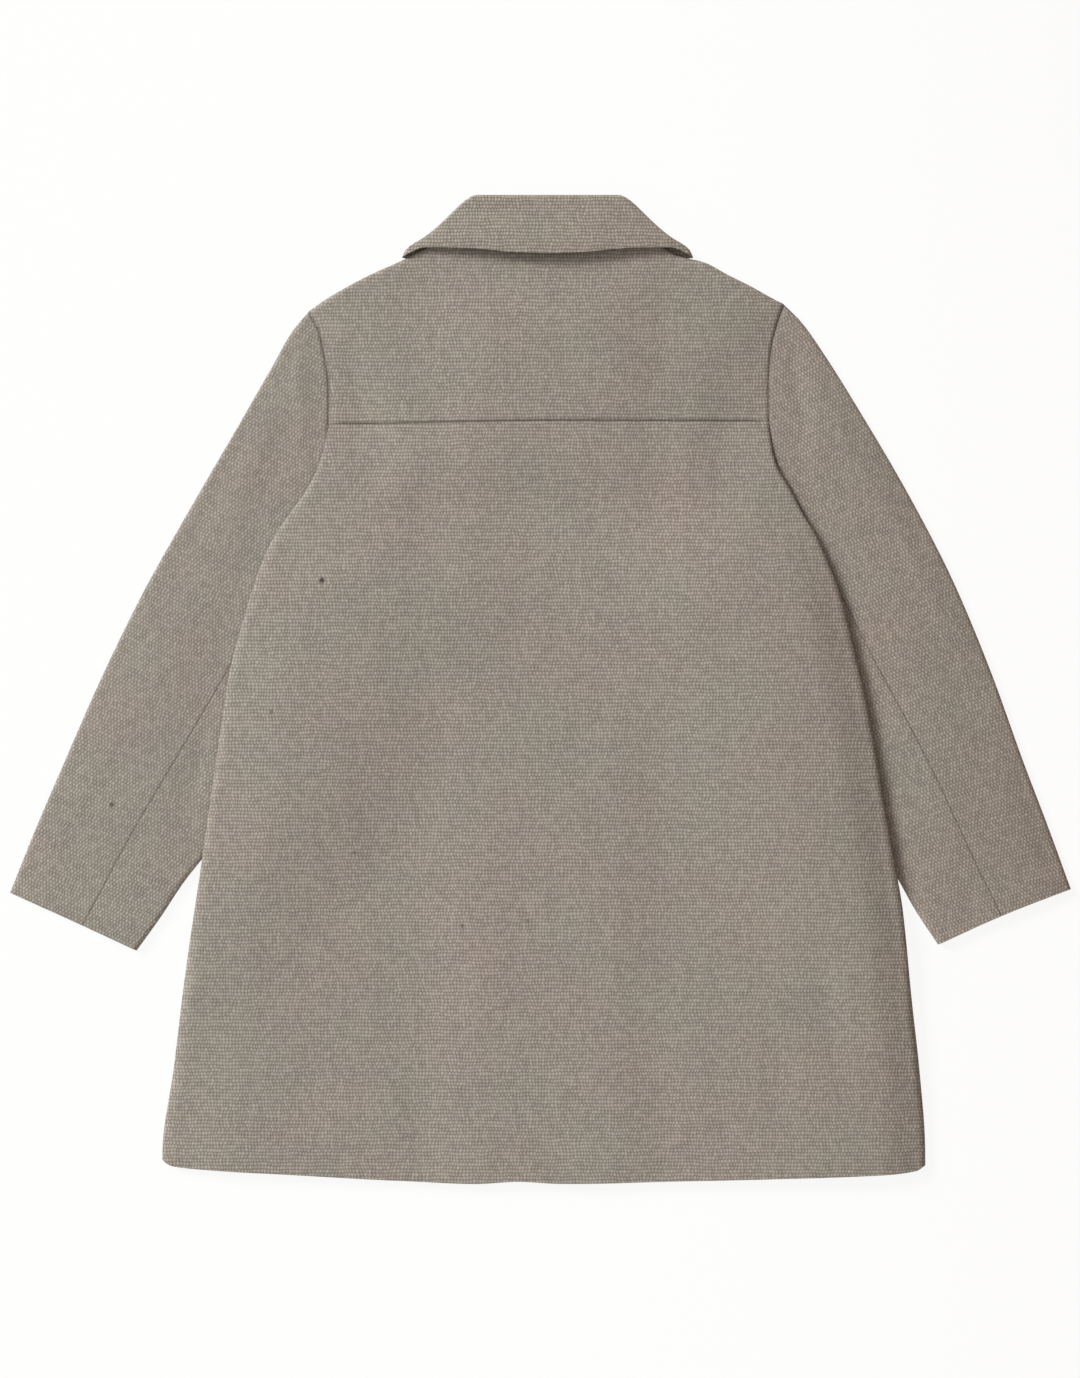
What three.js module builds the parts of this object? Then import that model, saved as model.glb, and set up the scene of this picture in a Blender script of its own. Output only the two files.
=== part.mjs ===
// Thigh-length A-line overcoat in a heavy basket-weave wool, laid face down on a flat surface.
// Millimetres. +X is the wearer's right, +Y points to the collar, +Z up; the fronts lie on Z = 0.
import * as THREE from 'three';

// Cloth
const WALL = 2.4;               // one layer of the coat: wool with its backing
const COLLAR_WALL = 2.8;        // the fall, turned out of two layers
const SEAM = 0.3;               // clearance between two pieces
const LAYER = WALL + SEAM;
const COLLAR_LAYER = COLLAR_WALL + SEAM;
const SLEEVE_HEIGHT = 2 * WALL + SEAM;
const OVER_SLEEVE = SLEEVE_HEIGHT + SEAM;

// Rounded folds
const ROLL = 5;                 // width of a rounded fold, seen from above
const ROLL_STEPS = 3;
const SLEEVE_CROWN = { height: 2.2, start: 4, ramp: 34 };   // rise of a sleeve to its middle

// Extra height of the back: a little in the middle, more beside its side folds
const LOFT = { middle: 0.5, side: 1.8, inset: 22, spread: 24, top: 190, fade: 110 };

// Levels along the coat, from the middle of its length
const FOLD_LEVEL = 454.2;       // top fold of the collar
const NECK_LEVEL = 417.2;       // ends of the neckline, at the shoulder line
const YOKE_LEVEL = 246;
const SLEEVE_TUCK = 262;        // the body starts to pass over the sleeve below this level
const ARMHOLE_LOW = 81;         // the underarm point
const TUCK_TOP = 150;           // the side of the body is tucked in below this level
const HEM_CORNER = -432;
const SIDE_STRIP = 87.5;        // width of a front's side strip, which passes over the sleeve
const CENTRE = 5;               // centre line of the coat in X
const LAP = 35;                 // how far each front passes the centre line

// How a layer comes down beside what it covers: full height to the margin, then a slope
const FRONT_OVER_SLEEVE = { margin: 34, ramp: 40 };
const FRONT_OVER_LEAF = { margin: 20, marginAtLap: 38, ramp: 50 };
const FRONT_OVER_FRONT = { clear: 52, ramp: 30, top: 365, fade: 40 };
const BACK_OVER_SLEEVE = { margin: 42, ramp: 75, fade: 86 };
const BACK_OVER_COLLAR = { margin: 46, ramp: 70 };
const BACK_OVER_LAP = { margin: 20, ramp: 60, top: 400, fade: 60 };
const STRIP_START = { clear: 4, top: 121, fade: 40 };   // fronts reach over the sleeves from here
const TOP_LAYER_TUCK = { top: 218, fade: 50 };          // the sleeve's top layer slips under the body

// Visible edges of the back: armhole seams above, side folds below
const BODY_EDGE = [
  { y: 354, left: -214, right: 224 },
  { y: 346, left: -211.8, right: 221.1 },
  { y: 330, left: -203.6, right: 215.9 },
  { y: 310, left: -199.3, right: 211.9 },
  { y: 280, left: -194.8, right: 210.2 },
  { y: 250, left: -194.8, right: 210.2 },
  { y: 230, left: -197.3, right: 212.4 },
  { y: 207, left: -203, right: 217.5 },
  { y: 183, left: -214.6, right: 230.3 },
  { y: 163, left: -228.8, right: 240.6 },
  { y: 139, left: -244.9, right: 255 },
  { y: 121, left: -253.5, right: 262.7 },
  { y: 100, left: -261.5, right: 271.5 },
  { y: 81, left: -267.4, right: 277.7 },
  { y: 51, left: -276.5, right: 285.1 },
  { y: 18, left: -284.7, right: 293.2 },
  { y: -22, left: -291.2, right: 302 },
  { y: -97, left: -302.2, right: 315.2 },
  { y: -165, left: -312.3, right: 327.7 },
  { y: -195, left: -317, right: 333 },
  { y: -268, left: -328, right: 340.8 },
  { y: -342, left: -337.2, right: 349.2 },
  { y: -415, left: -347.3, right: 354.6 },
  { y: -432, left: -348, right: 354.8 },
];

// Armhole seams of the fronts, and the inner folds of the sleeves below the underarm
const HIDDEN_EDGE = [
  { y: 260, left: -194.6, right: 210.2 },
  { y: 220, left: -194.2, right: 208.5 },
  { y: 180, left: -191.6, right: 204.4 },
  { y: 140, left: -187.5, right: 199 },
  { y: 81, left: -179.9, right: 189.1 },
  { y: 66, left: -183.9, right: 193 },
  { y: 45, left: -190.7, right: 199.5 },
  { y: 10, left: -203.8, right: 212 },
  { y: -40, left: -229.9, right: 236.8 },
  { y: -88, left: -259.9, right: 265.5 },
  { y: -134, left: -292.8, right: 297.5 },
  { y: -178, left: -328.2, right: 327.8 },
  { y: -238, left: -374, right: 366.6 },
  { y: -460, left: -545, right: 525 },
];

// Shoulder line and back neckline of the yoke
const YOKE_TOP = [
  { x: -212.6, y: 348.2 },
  { x: -196.4, y: 359.3 },
  { x: -177.1, y: 370.3 },
  { x: -155.9, y: 381.3 },
  { x: -131.1, y: 392.4 },
  { x: -104, y: 406 },
  { x: -81.4, y: 417.2 },
  { x: -40, y: 413.6 },
  { x: 6.9, y: 412.4 },
  { x: 54, y: 413.6 },
  { x: 95.2, y: 417.2 },
  { x: 126, y: 399 },
  { x: 152.3, y: 392.4 },
  { x: 173.4, y: 381.3 },
  { x: 195.5, y: 370.3 },
  { x: 215.7, y: 359.3 },
  { x: 225, y: 354.8 },
];

// Front neckline, hidden inside the collar
const FRONT_NECK = [
  { x: -81.4, y: 417.2 },
  { x: -66, y: 357 },
  { x: -33, y: 316 },
  { x: 5, y: 301 },
  { x: 45, y: 316 },
  { x: 79, y: 357 },
  { x: 95.2, y: 417.2 },
];

// Hem: how far it hangs below the level of its corners
const HEM_DROP = [
  { x: -349, drop: 0 },
  { x: -344, drop: 4.5 },
  { x: -337, drop: 7.4 },
  { x: -297, drop: 11 },
  { x: -231, drop: 14.7 },
  { x: -134, drop: 20.2 },
  { x: -60, drop: 23 },
  { x: -20, drop: 21 },
  { x: 20, drop: 23 },
  { x: 120, drop: 21 },
  { x: 216, drop: 18.4 },
  { x: 312, drop: 14.7 },
  { x: 345, drop: 11.5 },
  { x: 355, drop: 6 },
];

// Each row is one section across a sleeve, from its outer fold to its inner fold
const SLEEVE_LEFT = [
  { part: 0, outerX: -212.6, outerY: 348.2, innerX: -179.9, innerY: 81.4 },
  { part: 0.04, outerX: -228.4, outerY: 329.1, innerX: -183.9, innerY: 66.9 },
  { part: 0.1, outerX: -246.2, outerY: 298, innerX: -190.7, innerY: 45.3 },
  { part: 0.2, outerX: -275.9, outerY: 246.1, innerX: -203.8, innerY: 10 },
  { part: 0.35, outerX: -321.2, outerY: 168.1, innerX: -229.9, innerY: -40.2 },
  { part: 0.5, outerX: -365.5, outerY: 89.2, innerX: -259.9, innerY: -88.1 },
  { part: 0.65, outerX: -405, outerY: 8.3, innerX: -292.8, innerY: -134.1 },
  { part: 0.8, outerX: -441.2, outerY: -74.2, innerX: -328.2, innerY: -178.2 },
  { part: 0.9, outerX: -465.3, outerY: -130.4, innerX: -349, innerY: -209.6 },
  { part: 1, outerX: -488.2, outerY: -187.4, innerX: -371.4, innerY: -240.8 },
];
const SLEEVE_RIGHT = [
  { part: 0, outerX: 225, outerY: 354.8, innerX: 189.1, innerY: 81.4 },
  { part: 0.04, outerX: 241.8, outerY: 337.7, innerX: 193, innerY: 67.4 },
  { part: 0.1, outerX: 262.6, outerY: 308.2, innerX: 199.5, innerY: 46.5 },
  { part: 0.2, outerX: 294.3, outerY: 257.2, innerX: 212, innerY: 12.3 },
  { part: 0.35, outerX: 339.5, outerY: 179.4, innerX: 236.8, innerY: -36.2 },
  { part: 0.5, outerX: 380.6, outerY: 99.3, innerX: 265.5, innerY: -82.7 },
  { part: 0.65, outerX: 415.2, outerY: 16.3, innerX: 297.5, innerY: -127 },
  { part: 0.8, outerX: 445.8, outerY: -68.4, innerX: 327.8, innerY: -172.2 },
  { part: 0.9, outerX: 467.8, outerY: -126.2, innerX: 346.1, innerY: -204.4 },
  { part: 1, outerX: 489, outerY: -184.2, innerX: 366.6, innerY: -235.4 },
];
const SLEEVE_SEAM = { left: 0.575, right: 0.525 };   // back sleeve seam, share of the width
const FORE_SEAM_INSET = 24;                          // front sleeve seam, from the inner fold
const CUFF = { left: 0.4, right: 2.2, start: 0.8 };   // hollow of the cuff's edge, and where it begins

// Collar
const COLLAR_CENTRE = 7;
const COLLAR_FOLD_HALF = 68;      // half width of the top fold
const COLLAR_EDGE_HALF = 134;     // half width at the outer edge, where it turns over the shoulders
const NECK_HALF = 88.3;           // half width of the stand at the neckline
const COLLAR_TIP_LEVEL = 397;
const COLLAR_EDGE_LIFT = 3;       // the outer edge of the fall stands off the back
const LIFT_SPREAD = 0.7;
const FALL_SIDE = [
  { down: 0, half: 68 },
  { down: 0.04, half: 72.4 },
  { down: 0.12, half: 78.7 },
  { down: 0.235, half: 85.6 },
  { down: 0.4, half: 95.2 },
  { down: 0.56, half: 105.3 },
  { down: 0.725, half: 117.8 },
  { down: 0.805, half: 125.8 },
  { down: 0.887, half: 131 },
  { down: 1, half: 134 },
];
const FALL_EDGE = [
  { across: 0, y: 397 },
  { across: 8, y: 401 },
  { across: 20, y: 405.4 },
  { across: 38, y: 405.2 },
  { across: 62, y: 404.4 },
  { across: 100, y: 400.8 },
  { across: 134, y: 399.3 },
];
const FRONT_FOLD = [
  { part: 0, x: 68, y: 454.2 },
  { part: 0.35, x: 52, y: 393 },
  { part: 0.7, x: 30, y: 350 },
  { part: 1, x: 6.4, y: 322.5 },
];
const FRONT_POINT = [
  { part: 0, x: 134, y: 397 },
  { part: 0.5, x: 110, y: 330 },
  { part: 1, x: 79, y: 270 },
];

const clamp01 = (t) => Math.min(1, Math.max(0, t));
const lerp = (a, b, t) => a + (b - a) * t;
const smooth = (t) => { const c = clamp01(t); return c * c * (3 - 2 * c); };

// Reads a column of a table at a place, with a smooth curve that never overshoots its rows
function readCurve(rows, along, column, place) {
  const sign = rows[rows.length - 1][along] > rows[0][along] ? 1 : -1;
  const at = (k) => sign * rows[k][along];
  const slope = (k) => (rows[k + 1][column] - rows[k][column]) / (at(k + 1) - at(k));
  const tangent = (k) => {
    if (k === 0) return slope(0);
    if (k === rows.length - 1) return slope(k - 1);
    const before = slope(k - 1);
    const after = slope(k);
    return before * after <= 0 ? 0 : (2 * before * after) / (before + after);
  };
  const p = Math.min(at(rows.length - 1), Math.max(at(0), sign * place));
  let k = 0;
  while (k < rows.length - 2 && p > at(k + 1)) k += 1;
  const span = at(k + 1) - at(k);
  const t = (p - at(k)) / span;
  const t2 = t * t;
  const t3 = t2 * t;
  return (2 * t3 - 3 * t2 + 1) * rows[k][column] + (t3 - 2 * t2 + t) * span * tangent(k)
    + (3 * t2 - 2 * t3) * rows[k + 1][column] + (t3 - t2) * span * tangent(k + 1);
}

const bodyEdge = (side, y) => readCurve(BODY_EDGE, 'y', side, y);
const hiddenEdge = (side, y) => (
  y >= SLEEVE_TUCK ? bodyEdge(side, y) : readCurve(HIDDEN_EDGE, 'y', side, y)
);
const outward = (side) => (side === 'left' ? -1 : 1);
const yokeTop = (x) => readCurve(YOKE_TOP, 'x', 'y', x);

// How far a place lies past a convex list of corners that runs clockwise, negative inside it
function distanceTo(corners, x, y) {
  let most = -Infinity;
  corners.forEach(([ax, ay], k) => {
    const [bx, by] = corners[(k + 1) % corners.length];
    const along = Math.hypot(bx - ax, by - ay);
    most = Math.max(most, ((y - ay) * (bx - ax) - (x - ax) * (by - ay)) / along);
  });
  return most;
}
const plateau = (distance, margin, ramp) => smooth((margin + ramp - distance) / ramp);

// Ground covered by the front of the collar, which the fronts lie on
const mirrorX = (x, hand) => COLLAR_CENTRE + hand * x;
const LEAF = [
  FRONT_FOLD[0],
  FRONT_FOLD[FRONT_FOLD.length - 1],
  FRONT_POINT[FRONT_POINT.length - 1],
  FRONT_POINT[0],
];
const leafCorners = (hand) => {
  const corners = LEAF.map(({ x, y }) => [mirrorX(x, hand), y]);
  return hand > 0 ? corners.reverse() : corners;
};
const LEAVES = [leafCorners(-1), leafCorners(1)];
const [foldCorner, , pointCorner, edgeCorner] = LEAF;
const COLLAR_GROUND = [
  [mirrorX(foldCorner.x, -1), foldCorner.y],
  [mirrorX(foldCorner.x, 1), foldCorner.y],
  [mirrorX(edgeCorner.x, 1), edgeCorner.y],
  [mirrorX(pointCorner.x, 1), pointCorner.y],
  [mirrorX(pointCorner.x, -1), pointCorner.y],
  [mirrorX(edgeCorner.x, -1), edgeCorner.y],
];
const leafDistance = (x, y) => Math.min(...LEAVES.map((leaf) => distanceTo(leaf, x, y)));

// How fully a layer is raised over the covered part of a sleeve
const overSleeve = (side, x, y, { margin, ramp }) =>
  plateau(outward(side) * (hiddenEdge(side, y) - x), margin, ramp);

// Underside of a front, from the floor over the collar leaf, the sleeve and the other front
function frontUnder(side, x, y) {
  const inStrip = outward(side) * (x - hiddenEdge(side, y)) > STRIP_START.clear;
  const share = inStrip ? 1 : smooth((STRIP_START.top - y) / STRIP_START.fade);
  const sleeve = OVER_SLEEVE * overSleeve(side, x, y, FRONT_OVER_SLEEVE) * share;
  const { clear, ramp, top, fade } = FRONT_OVER_FRONT;
  const lap = side === 'left' ? smooth((x - (CENTRE - LAP - clear)) / ramp) * smooth((top - y) / fade) : 0;
  const leafMargin = lerp(FRONT_OVER_LEAF.margin, FRONT_OVER_LEAF.marginAtLap, lap);
  const leaf = COLLAR_LAYER * plateau(leafDistance(x, y), leafMargin, FRONT_OVER_LEAF.ramp);
  return sleeve + leaf + LAYER * lap;
}

// Underside of the back, smoother than the layers that it covers
function backUnder(x, y) {
  const side = x < CENTRE ? 'left' : 'right';
  const rise = smooth((SLEEVE_TUCK - y) / BACK_OVER_SLEEVE.fade);
  const sleeve = OVER_SLEEVE * overSleeve(side, x, y, BACK_OVER_SLEEVE) * rise;
  const { margin, ramp, top, fade } = BACK_OVER_LAP;
  const lap = plateau(Math.abs(x - CENTRE), LAP + margin, ramp) * smooth((top - y) / fade);
  const collarDistance = distanceTo(COLLAR_GROUND, x, y);
  const collar = COLLAR_LAYER * plateau(collarDistance, BACK_OVER_COLLAR.margin, BACK_OVER_COLLAR.ramp);
  return LAYER + sleeve + collar + LAYER * lap;
}
function backLoft(x, y) {
  const inset = Math.min(x - bodyEdge('left', y), bodyEdge('right', y) - x);
  const nearFold = Math.exp(-(((inset - LOFT.inset) / LOFT.spread) ** 2));
  return smooth((LOFT.top - y) / LOFT.fade) * (LOFT.middle + LOFT.side * nearFold);
}
const backTop = (x, y) => backUnder(x, y) + backLoft(x, y) + WALL;

// Stations across a rounded fold, from the seam line at its lip to the flat cloth
const ROLL_STATIONS = Array.from({ length: ROLL_STEPS + 1 }, (_, k) => {
  const angle = (k / ROLL_STEPS) * (Math.PI / 2);
  return { bend: 1 - Math.cos(angle), rise: Math.sin(angle) };
});

// Closed wall between two grids of points; keep says which cells of the grid are cloth
function clothWall(name, colour, upper, lower, keep = () => true) {
  const rows = upper.length;
  const cols = upper[0].length;
  const numbers = new Map();
  const places = [];
  const vertex = (layer, i, j) => {
    const key = (layer * rows + i) * cols + j;
    if (!numbers.has(key)) {
      numbers.set(key, places.length / 3);
      places.push(...(layer === 0 ? upper : lower)[i][j]);
    }
    return numbers.get(key);
  };
  const faces = [];
  const kept = (i, j) => i >= 0 && j >= 0 && i < rows - 1 && j < cols - 1 && keep(i, j);
  for (let i = 0; i < rows - 1; i += 1) {
    for (let j = 0; j < cols - 1; j += 1) {
      if (!kept(i, j)) continue;
      const ring = [[i, j], [i + 1, j], [i + 1, j + 1], [i, j + 1]];
      const beyond = [[i, j - 1], [i + 1, j], [i, j + 1], [i - 1, j]];
      const [a, d, c, b] = ring.map(([r, s]) => vertex(0, r, s));
      const [e, h, g, f] = ring.map(([r, s]) => vertex(1, r, s));
      faces.push([a, d, c], [a, c, b], [e, g, h], [e, f, g]);
      ring.forEach(([r, s], k) => {
        if (kept(...beyond[k])) return;
        const [nr, ns] = ring[(k + 1) % 4];
        const p = vertex(0, r, s);
        const q = vertex(0, nr, ns);
        const pUnder = vertex(1, r, s);
        const qUnder = vertex(1, nr, ns);
        faces.push([q, p, pUnder], [q, pUnder, qUnder]);
      });
    }
  }
  const corner = (n) => new THREE.Vector3(places[3 * n], places[3 * n + 1], places[3 * n + 2]);
  const volume = faces.reduce((sum, [a, b, c]) => sum + corner(a).dot(corner(b).cross(corner(c))), 0);
  const turned = volume < 0 ? faces.map(([a, b, c]) => [a, c, b]) : faces;
  const geometry = new THREE.BufferGeometry();
  geometry.setAttribute('position', new THREE.Float32BufferAttribute(places, 3));
  geometry.setIndex(turned.flat());
  geometry.computeVertexNormals();
  const material = new THREE.MeshStandardMaterial({ color: colour, roughness: 0.95, metalness: 0 });
  const mesh = new THREE.Mesh(geometry, material);
  mesh.name = name;
  return mesh;
}

const shares = (count) => Array.from({ length: count + 1 }, (_, k) => k / count);

// Height of the lip of a side fold above the layer that carries the fold
const FOLD_ON_FRONT = 200;      // the side folds meet the fronts below this level
function sideFold(side, y) {
  const x = bodyEdge(side, y);
  const inner = x - outward(side) * ROLL;
  const top = backTop(inner, y);
  const floor = y > FOLD_ON_FRONT ? OVER_SLEEVE : frontUnder(side, inner, Math.min(y, TUCK_TOP));
  const half = Math.max(0, (top - floor) / 2);
  return { top, floor, half };
}

// Levels of the rows of the back, close together where it passes over the sleeves
const LOWER_LEVELS = [
  YOKE_LEVEL, 228, 212, 196, 180, 165, 150, 133, 116, 99, 81, 58, 33, 8, -17, -42, -67, -92, -117,
  -142, -167, -192, -217, -242, -270, -310, -355, -400, HEM_CORNER + 12, HEM_CORNER,
];
const HEM_EASE = 1.5;
const hemShare = (y) => smooth((ARMHOLE_LOW - y) / (ARMHOLE_LOW - HEM_CORNER)) ** HEM_EASE;
const withHem = (x, y) => y - readCurve(HEM_DROP, 'x', 'drop', x) * hemShare(y);

function back() {
  const columns = 17;
  const upper = [];
  const lower = [];
  LOWER_LEVELS.forEach((level, i) => {
    const y = i === 0 ? level - SEAM / 2 : level;
    const rowUpper = [];
    const rowLower = [];
    const lip = (side, { bend, rise }) => {
      const { top, half } = sideFold(side, y);
      const turn = clamp01(half / WALL);
      const inward = -outward(side);
      const x = bodyEdge(side, y);
      const outerX = x + inward * ROLL * bend;
      const innerX = lerp(outerX, x + inward * (WALL + (ROLL - WALL) * bend), turn);
      const reach = Math.max(0, half - SEAM / 2);
      const yHem = withHem(x, y);
      rowUpper.push([outerX, yHem, top - reach * (1 - rise)]);
      rowLower.push([innerX, yHem, top - WALL + (WALL - reach) * (1 - rise) * turn]);
    };
    ROLL_STATIONS.forEach((station) => lip('left', station));
    shares(columns).slice(1, -1).forEach((share) => {
      const x = lerp(bodyEdge('left', y) + ROLL, bodyEdge('right', y) - ROLL, share);
      rowUpper.push([x, withHem(x, y), backTop(x, y)]);
      rowLower.push([x, withHem(x, y), backTop(x, y) - WALL]);
    });
    [...ROLL_STATIONS].reverse().forEach((station) => lip('right', station));
    upper.push(rowUpper);
    lower.push(rowLower);
  });
  return clothWall('back', 0x968d82, upper, lower);
}

function backYoke() {
  const columns = 26;
  const flatRows = 8;
  const crowding = 1.6;
  const turnRamp = 12;
  const upper = [];
  const lower = [];
  const acrossAt = (share, y) => {
    const left = bodyEdge('left', Math.min(y, YOKE_TOP[0].y));
    const right = bodyEdge('right', Math.min(y, YOKE_TOP[YOKE_TOP.length - 1].y));
    return lerp(left, right, share);
  };
  const row = (yOf, bend, rise) => {
    const rowUpper = [];
    const rowLower = [];
    shares(columns).forEach((share) => {
      const topX = lerp(YOKE_TOP[0].x, YOKE_TOP[YOKE_TOP.length - 1].x, share);
      const y = yOf(topX);
      const x = acrossAt(share, y);
      const top = backTop(x, y);
      const turn = rise < 1 ? smooth((Math.abs(topX - COLLAR_CENTRE) - NECK_HALF) / turnRamp) : 0;
      const reach = (top - backUnder(x, y) + LAYER) / 2 - SEAM / 2;
      const innerY = y - turn * WALL * (1 - bend);
      rowUpper.push([x, y, top - turn * reach * (1 - rise)]);
      rowLower.push([acrossAt(share, innerY), innerY, top - WALL + turn * (WALL - reach) * (1 - rise)]);
    });
    upper.push(rowUpper);
    lower.push(rowLower);
  };
  ROLL_STATIONS.forEach(({ bend, rise }) => {
    row((x) => yokeTop(x) - ROLL * bend, bend, rise);
  });
  shares(flatRows).slice(1).forEach((share) => {
    row((x) => lerp(yokeTop(x) - ROLL, YOKE_LEVEL + SEAM / 2, share ** crowding), 1, 1);
  });
  return clothWall('back_yoke', 0x958c82, upper, lower);
}

// Top edge of a front: shoulder line, then neckline
function frontTopEdge(x) {
  const neckLeft = FRONT_NECK[0].x;
  const neckRight = FRONT_NECK[FRONT_NECK.length - 1].x;
  return x > neckLeft && x < neckRight ? readCurve(FRONT_NECK, 'x', 'y', x) : yokeTop(x);
}

const FRONT_COLUMNS = 10;
const FRONT_CROWDING = 0.85;
const frontShares = shares(FRONT_COLUMNS).map((share) => share ** FRONT_CROWDING);
const shoulderEnd = (side) => (side === 'left' ? YOKE_TOP[0] : YOKE_TOP[YOKE_TOP.length - 1]);
const frontEnd = (side) => CENTRE - outward(side) * LAP;

// Where the flat part of a front starts: at its armhole, and below that in line with its side
function frontStart(side, y) {
  const out = outward(side);
  if (y < ARMHOLE_LOW) return bodyEdge(side, y) - out * SIDE_STRIP;
  return hiddenEdge(side, Math.min(y, shoulderEnd(side).y)) - out * SEAM / 2;
}

// A place on the top edge of a front, counted from its shoulder end to its centre edge
function frontTopPlace(side, share, inset) {
  const topX = lerp(shoulderEnd(side).x, frontEnd(side), share);
  return { topX, y: frontTopEdge(topX) - inset };
}

// Neckline of a front as it is cut, straight between its columns
function frontNeck(side, x) {
  const places = frontShares.map((share) => {
    const { y } = frontTopPlace(side, share, SEAM);
    return { x: lerp(frontStart(side, y), frontEnd(side), share), y };
  });
  const parts = places.slice(1).map((place, k) => (x - places[k].x) / (place.x - places[k].x));
  const k = Math.max(0, parts.findIndex((t) => t >= 0 && t <= 1));
  return lerp(places[k].y, places[k + 1].y, parts[k]);
}

function front(side) {
  const out = outward(side);
  const sideColumns = 4;
  const slit = 8;               // width of the column that is open above the underarm
  const topRows = 9;
  const crowding = 1.3;
  const shoulderStart = 92;     // the shoulder line starts this far from the collar's centre
  const edgeX = frontEnd(side);
  const levels = LOWER_LEVELS.filter((level) => level < TUCK_TOP);
  const upper = [];
  const lower = [];

  // The side strip at a level: its rolled edge, then the flat cloth to the slit
  const stripAt = (y) => {
    const x = bodyEdge(side, y);
    const { floor, half } = sideFold(side, y);
    const reach = half - SEAM / 2;
    const under = [];
    const over = [];
    ROLL_STATIONS.forEach(({ bend, rise }) => {
      const outerX = x - out * ROLL * bend;
      const innerX = x - out * (WALL + (ROLL - WALL) * bend);
      under.push([outerX, withHem(x, y), floor + reach * (1 - rise)]);
      over.push([innerX, withHem(x, y), floor + WALL + (reach - WALL) * (1 - rise)]);
    });
    shares(sideColumns).slice(1).forEach((share) => {
      const flatX = lerp(x - out * ROLL, frontStart(side, y) + out * slit, share);
      const height = frontUnder(side, flatX, y);
      under.push([flatX, withHem(flatX, y), height]);
      over.push([flatX, withHem(flatX, y), height + WALL]);
    });
    return { under, over };
  };

  // A row between the top edge and the underarm, and its rolled edge at the shoulder
  const addTopRow = ({ bend, rise }, part) => {
    const { under, over } = stripAt(TUCK_TOP);
    frontShares.forEach((spread) => {
      const top = frontTopPlace(side, spread, SEAM + ROLL * bend);
      const y = lerp(top.y, TUCK_TOP, part);
      const x = lerp(frontStart(side, y), edgeX, spread);
      const height = frontUnder(side, x, y);
      const onShoulder = out * (top.topX - COLLAR_CENTRE) > shoulderStart;
      const turn = rise < 1 && onShoulder ? 1 : 0;
      const reach = turn * ((backTop(x, y) - height) / 2 - SEAM / 2);
      const innerY = y - turn * WALL * (1 - bend);
      const innerX = lerp(frontStart(side, innerY), edgeX, spread);
      under.push([x, y, height + reach * (1 - rise)]);
      over.push([innerX, innerY, height + WALL + turn * (reach - WALL) * (1 - rise)]);
    });
    upper.push(over);
    lower.push(under);
  };
  const flatStation = ROLL_STATIONS[ROLL_STEPS];
  ROLL_STATIONS.forEach((station) => addTopRow(station, 0));
  shares(topRows).slice(1).forEach((share) => addTopRow(flatStation, share ** crowding));

  levels.forEach((y) => {
    const { under, over } = stripAt(y);
    frontShares.forEach((spread) => {
      const x = lerp(frontStart(side, y), edgeX, spread);
      const height = frontUnder(side, x, y);
      under.push([x, withHem(x, y), height]);
      over.push([x, withHem(x, y), height + WALL]);
    });
    upper.push(over);
    lower.push(under);
  });

  const firstSideRow = ROLL_STEPS + topRows;
  const slitColumn = ROLL_STEPS + sideColumns;
  const underarmRow = firstSideRow + levels.filter((level) => level >= ARMHOLE_LOW).length;
  const keep = (i, j) => {
    if (j < slitColumn) return i >= firstSideRow;
    if (j === slitColumn) return i >= underarmRow;
    return true;
  };
  return clothWall(`front_${side}`, side === 'left' ? 0x90877c : 0x8d8479, upper, lower, keep);
}

// Height of a sleeve's top layer at a place
function sleeveTop(side, x, y, fromOuter) {
  const { height, start, ramp } = SLEEVE_CROWN;
  const clear = outward(side) * (x - bodyEdge(side, y)) - start;
  return SLEEVE_HEIGHT + height * smooth(clear / ramp) * smooth(fromOuter / ramp);
}

// Armhole end of a sleeve: its lower layer meets the front, its upper layer passes under the body
function sleeveEnd(side, y, level) {
  const hidden = hiddenEdge(side, y);
  const seen = bodyEdge(side, y);
  const tuck = level > 0 ? smooth((TOP_LAYER_TUCK.top - y) / TOP_LAYER_TUCK.fade) : 1;
  return lerp(seen, hidden, tuck) + outward(side) * SEAM * (level > 0 ? 1 : 2);
}

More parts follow.
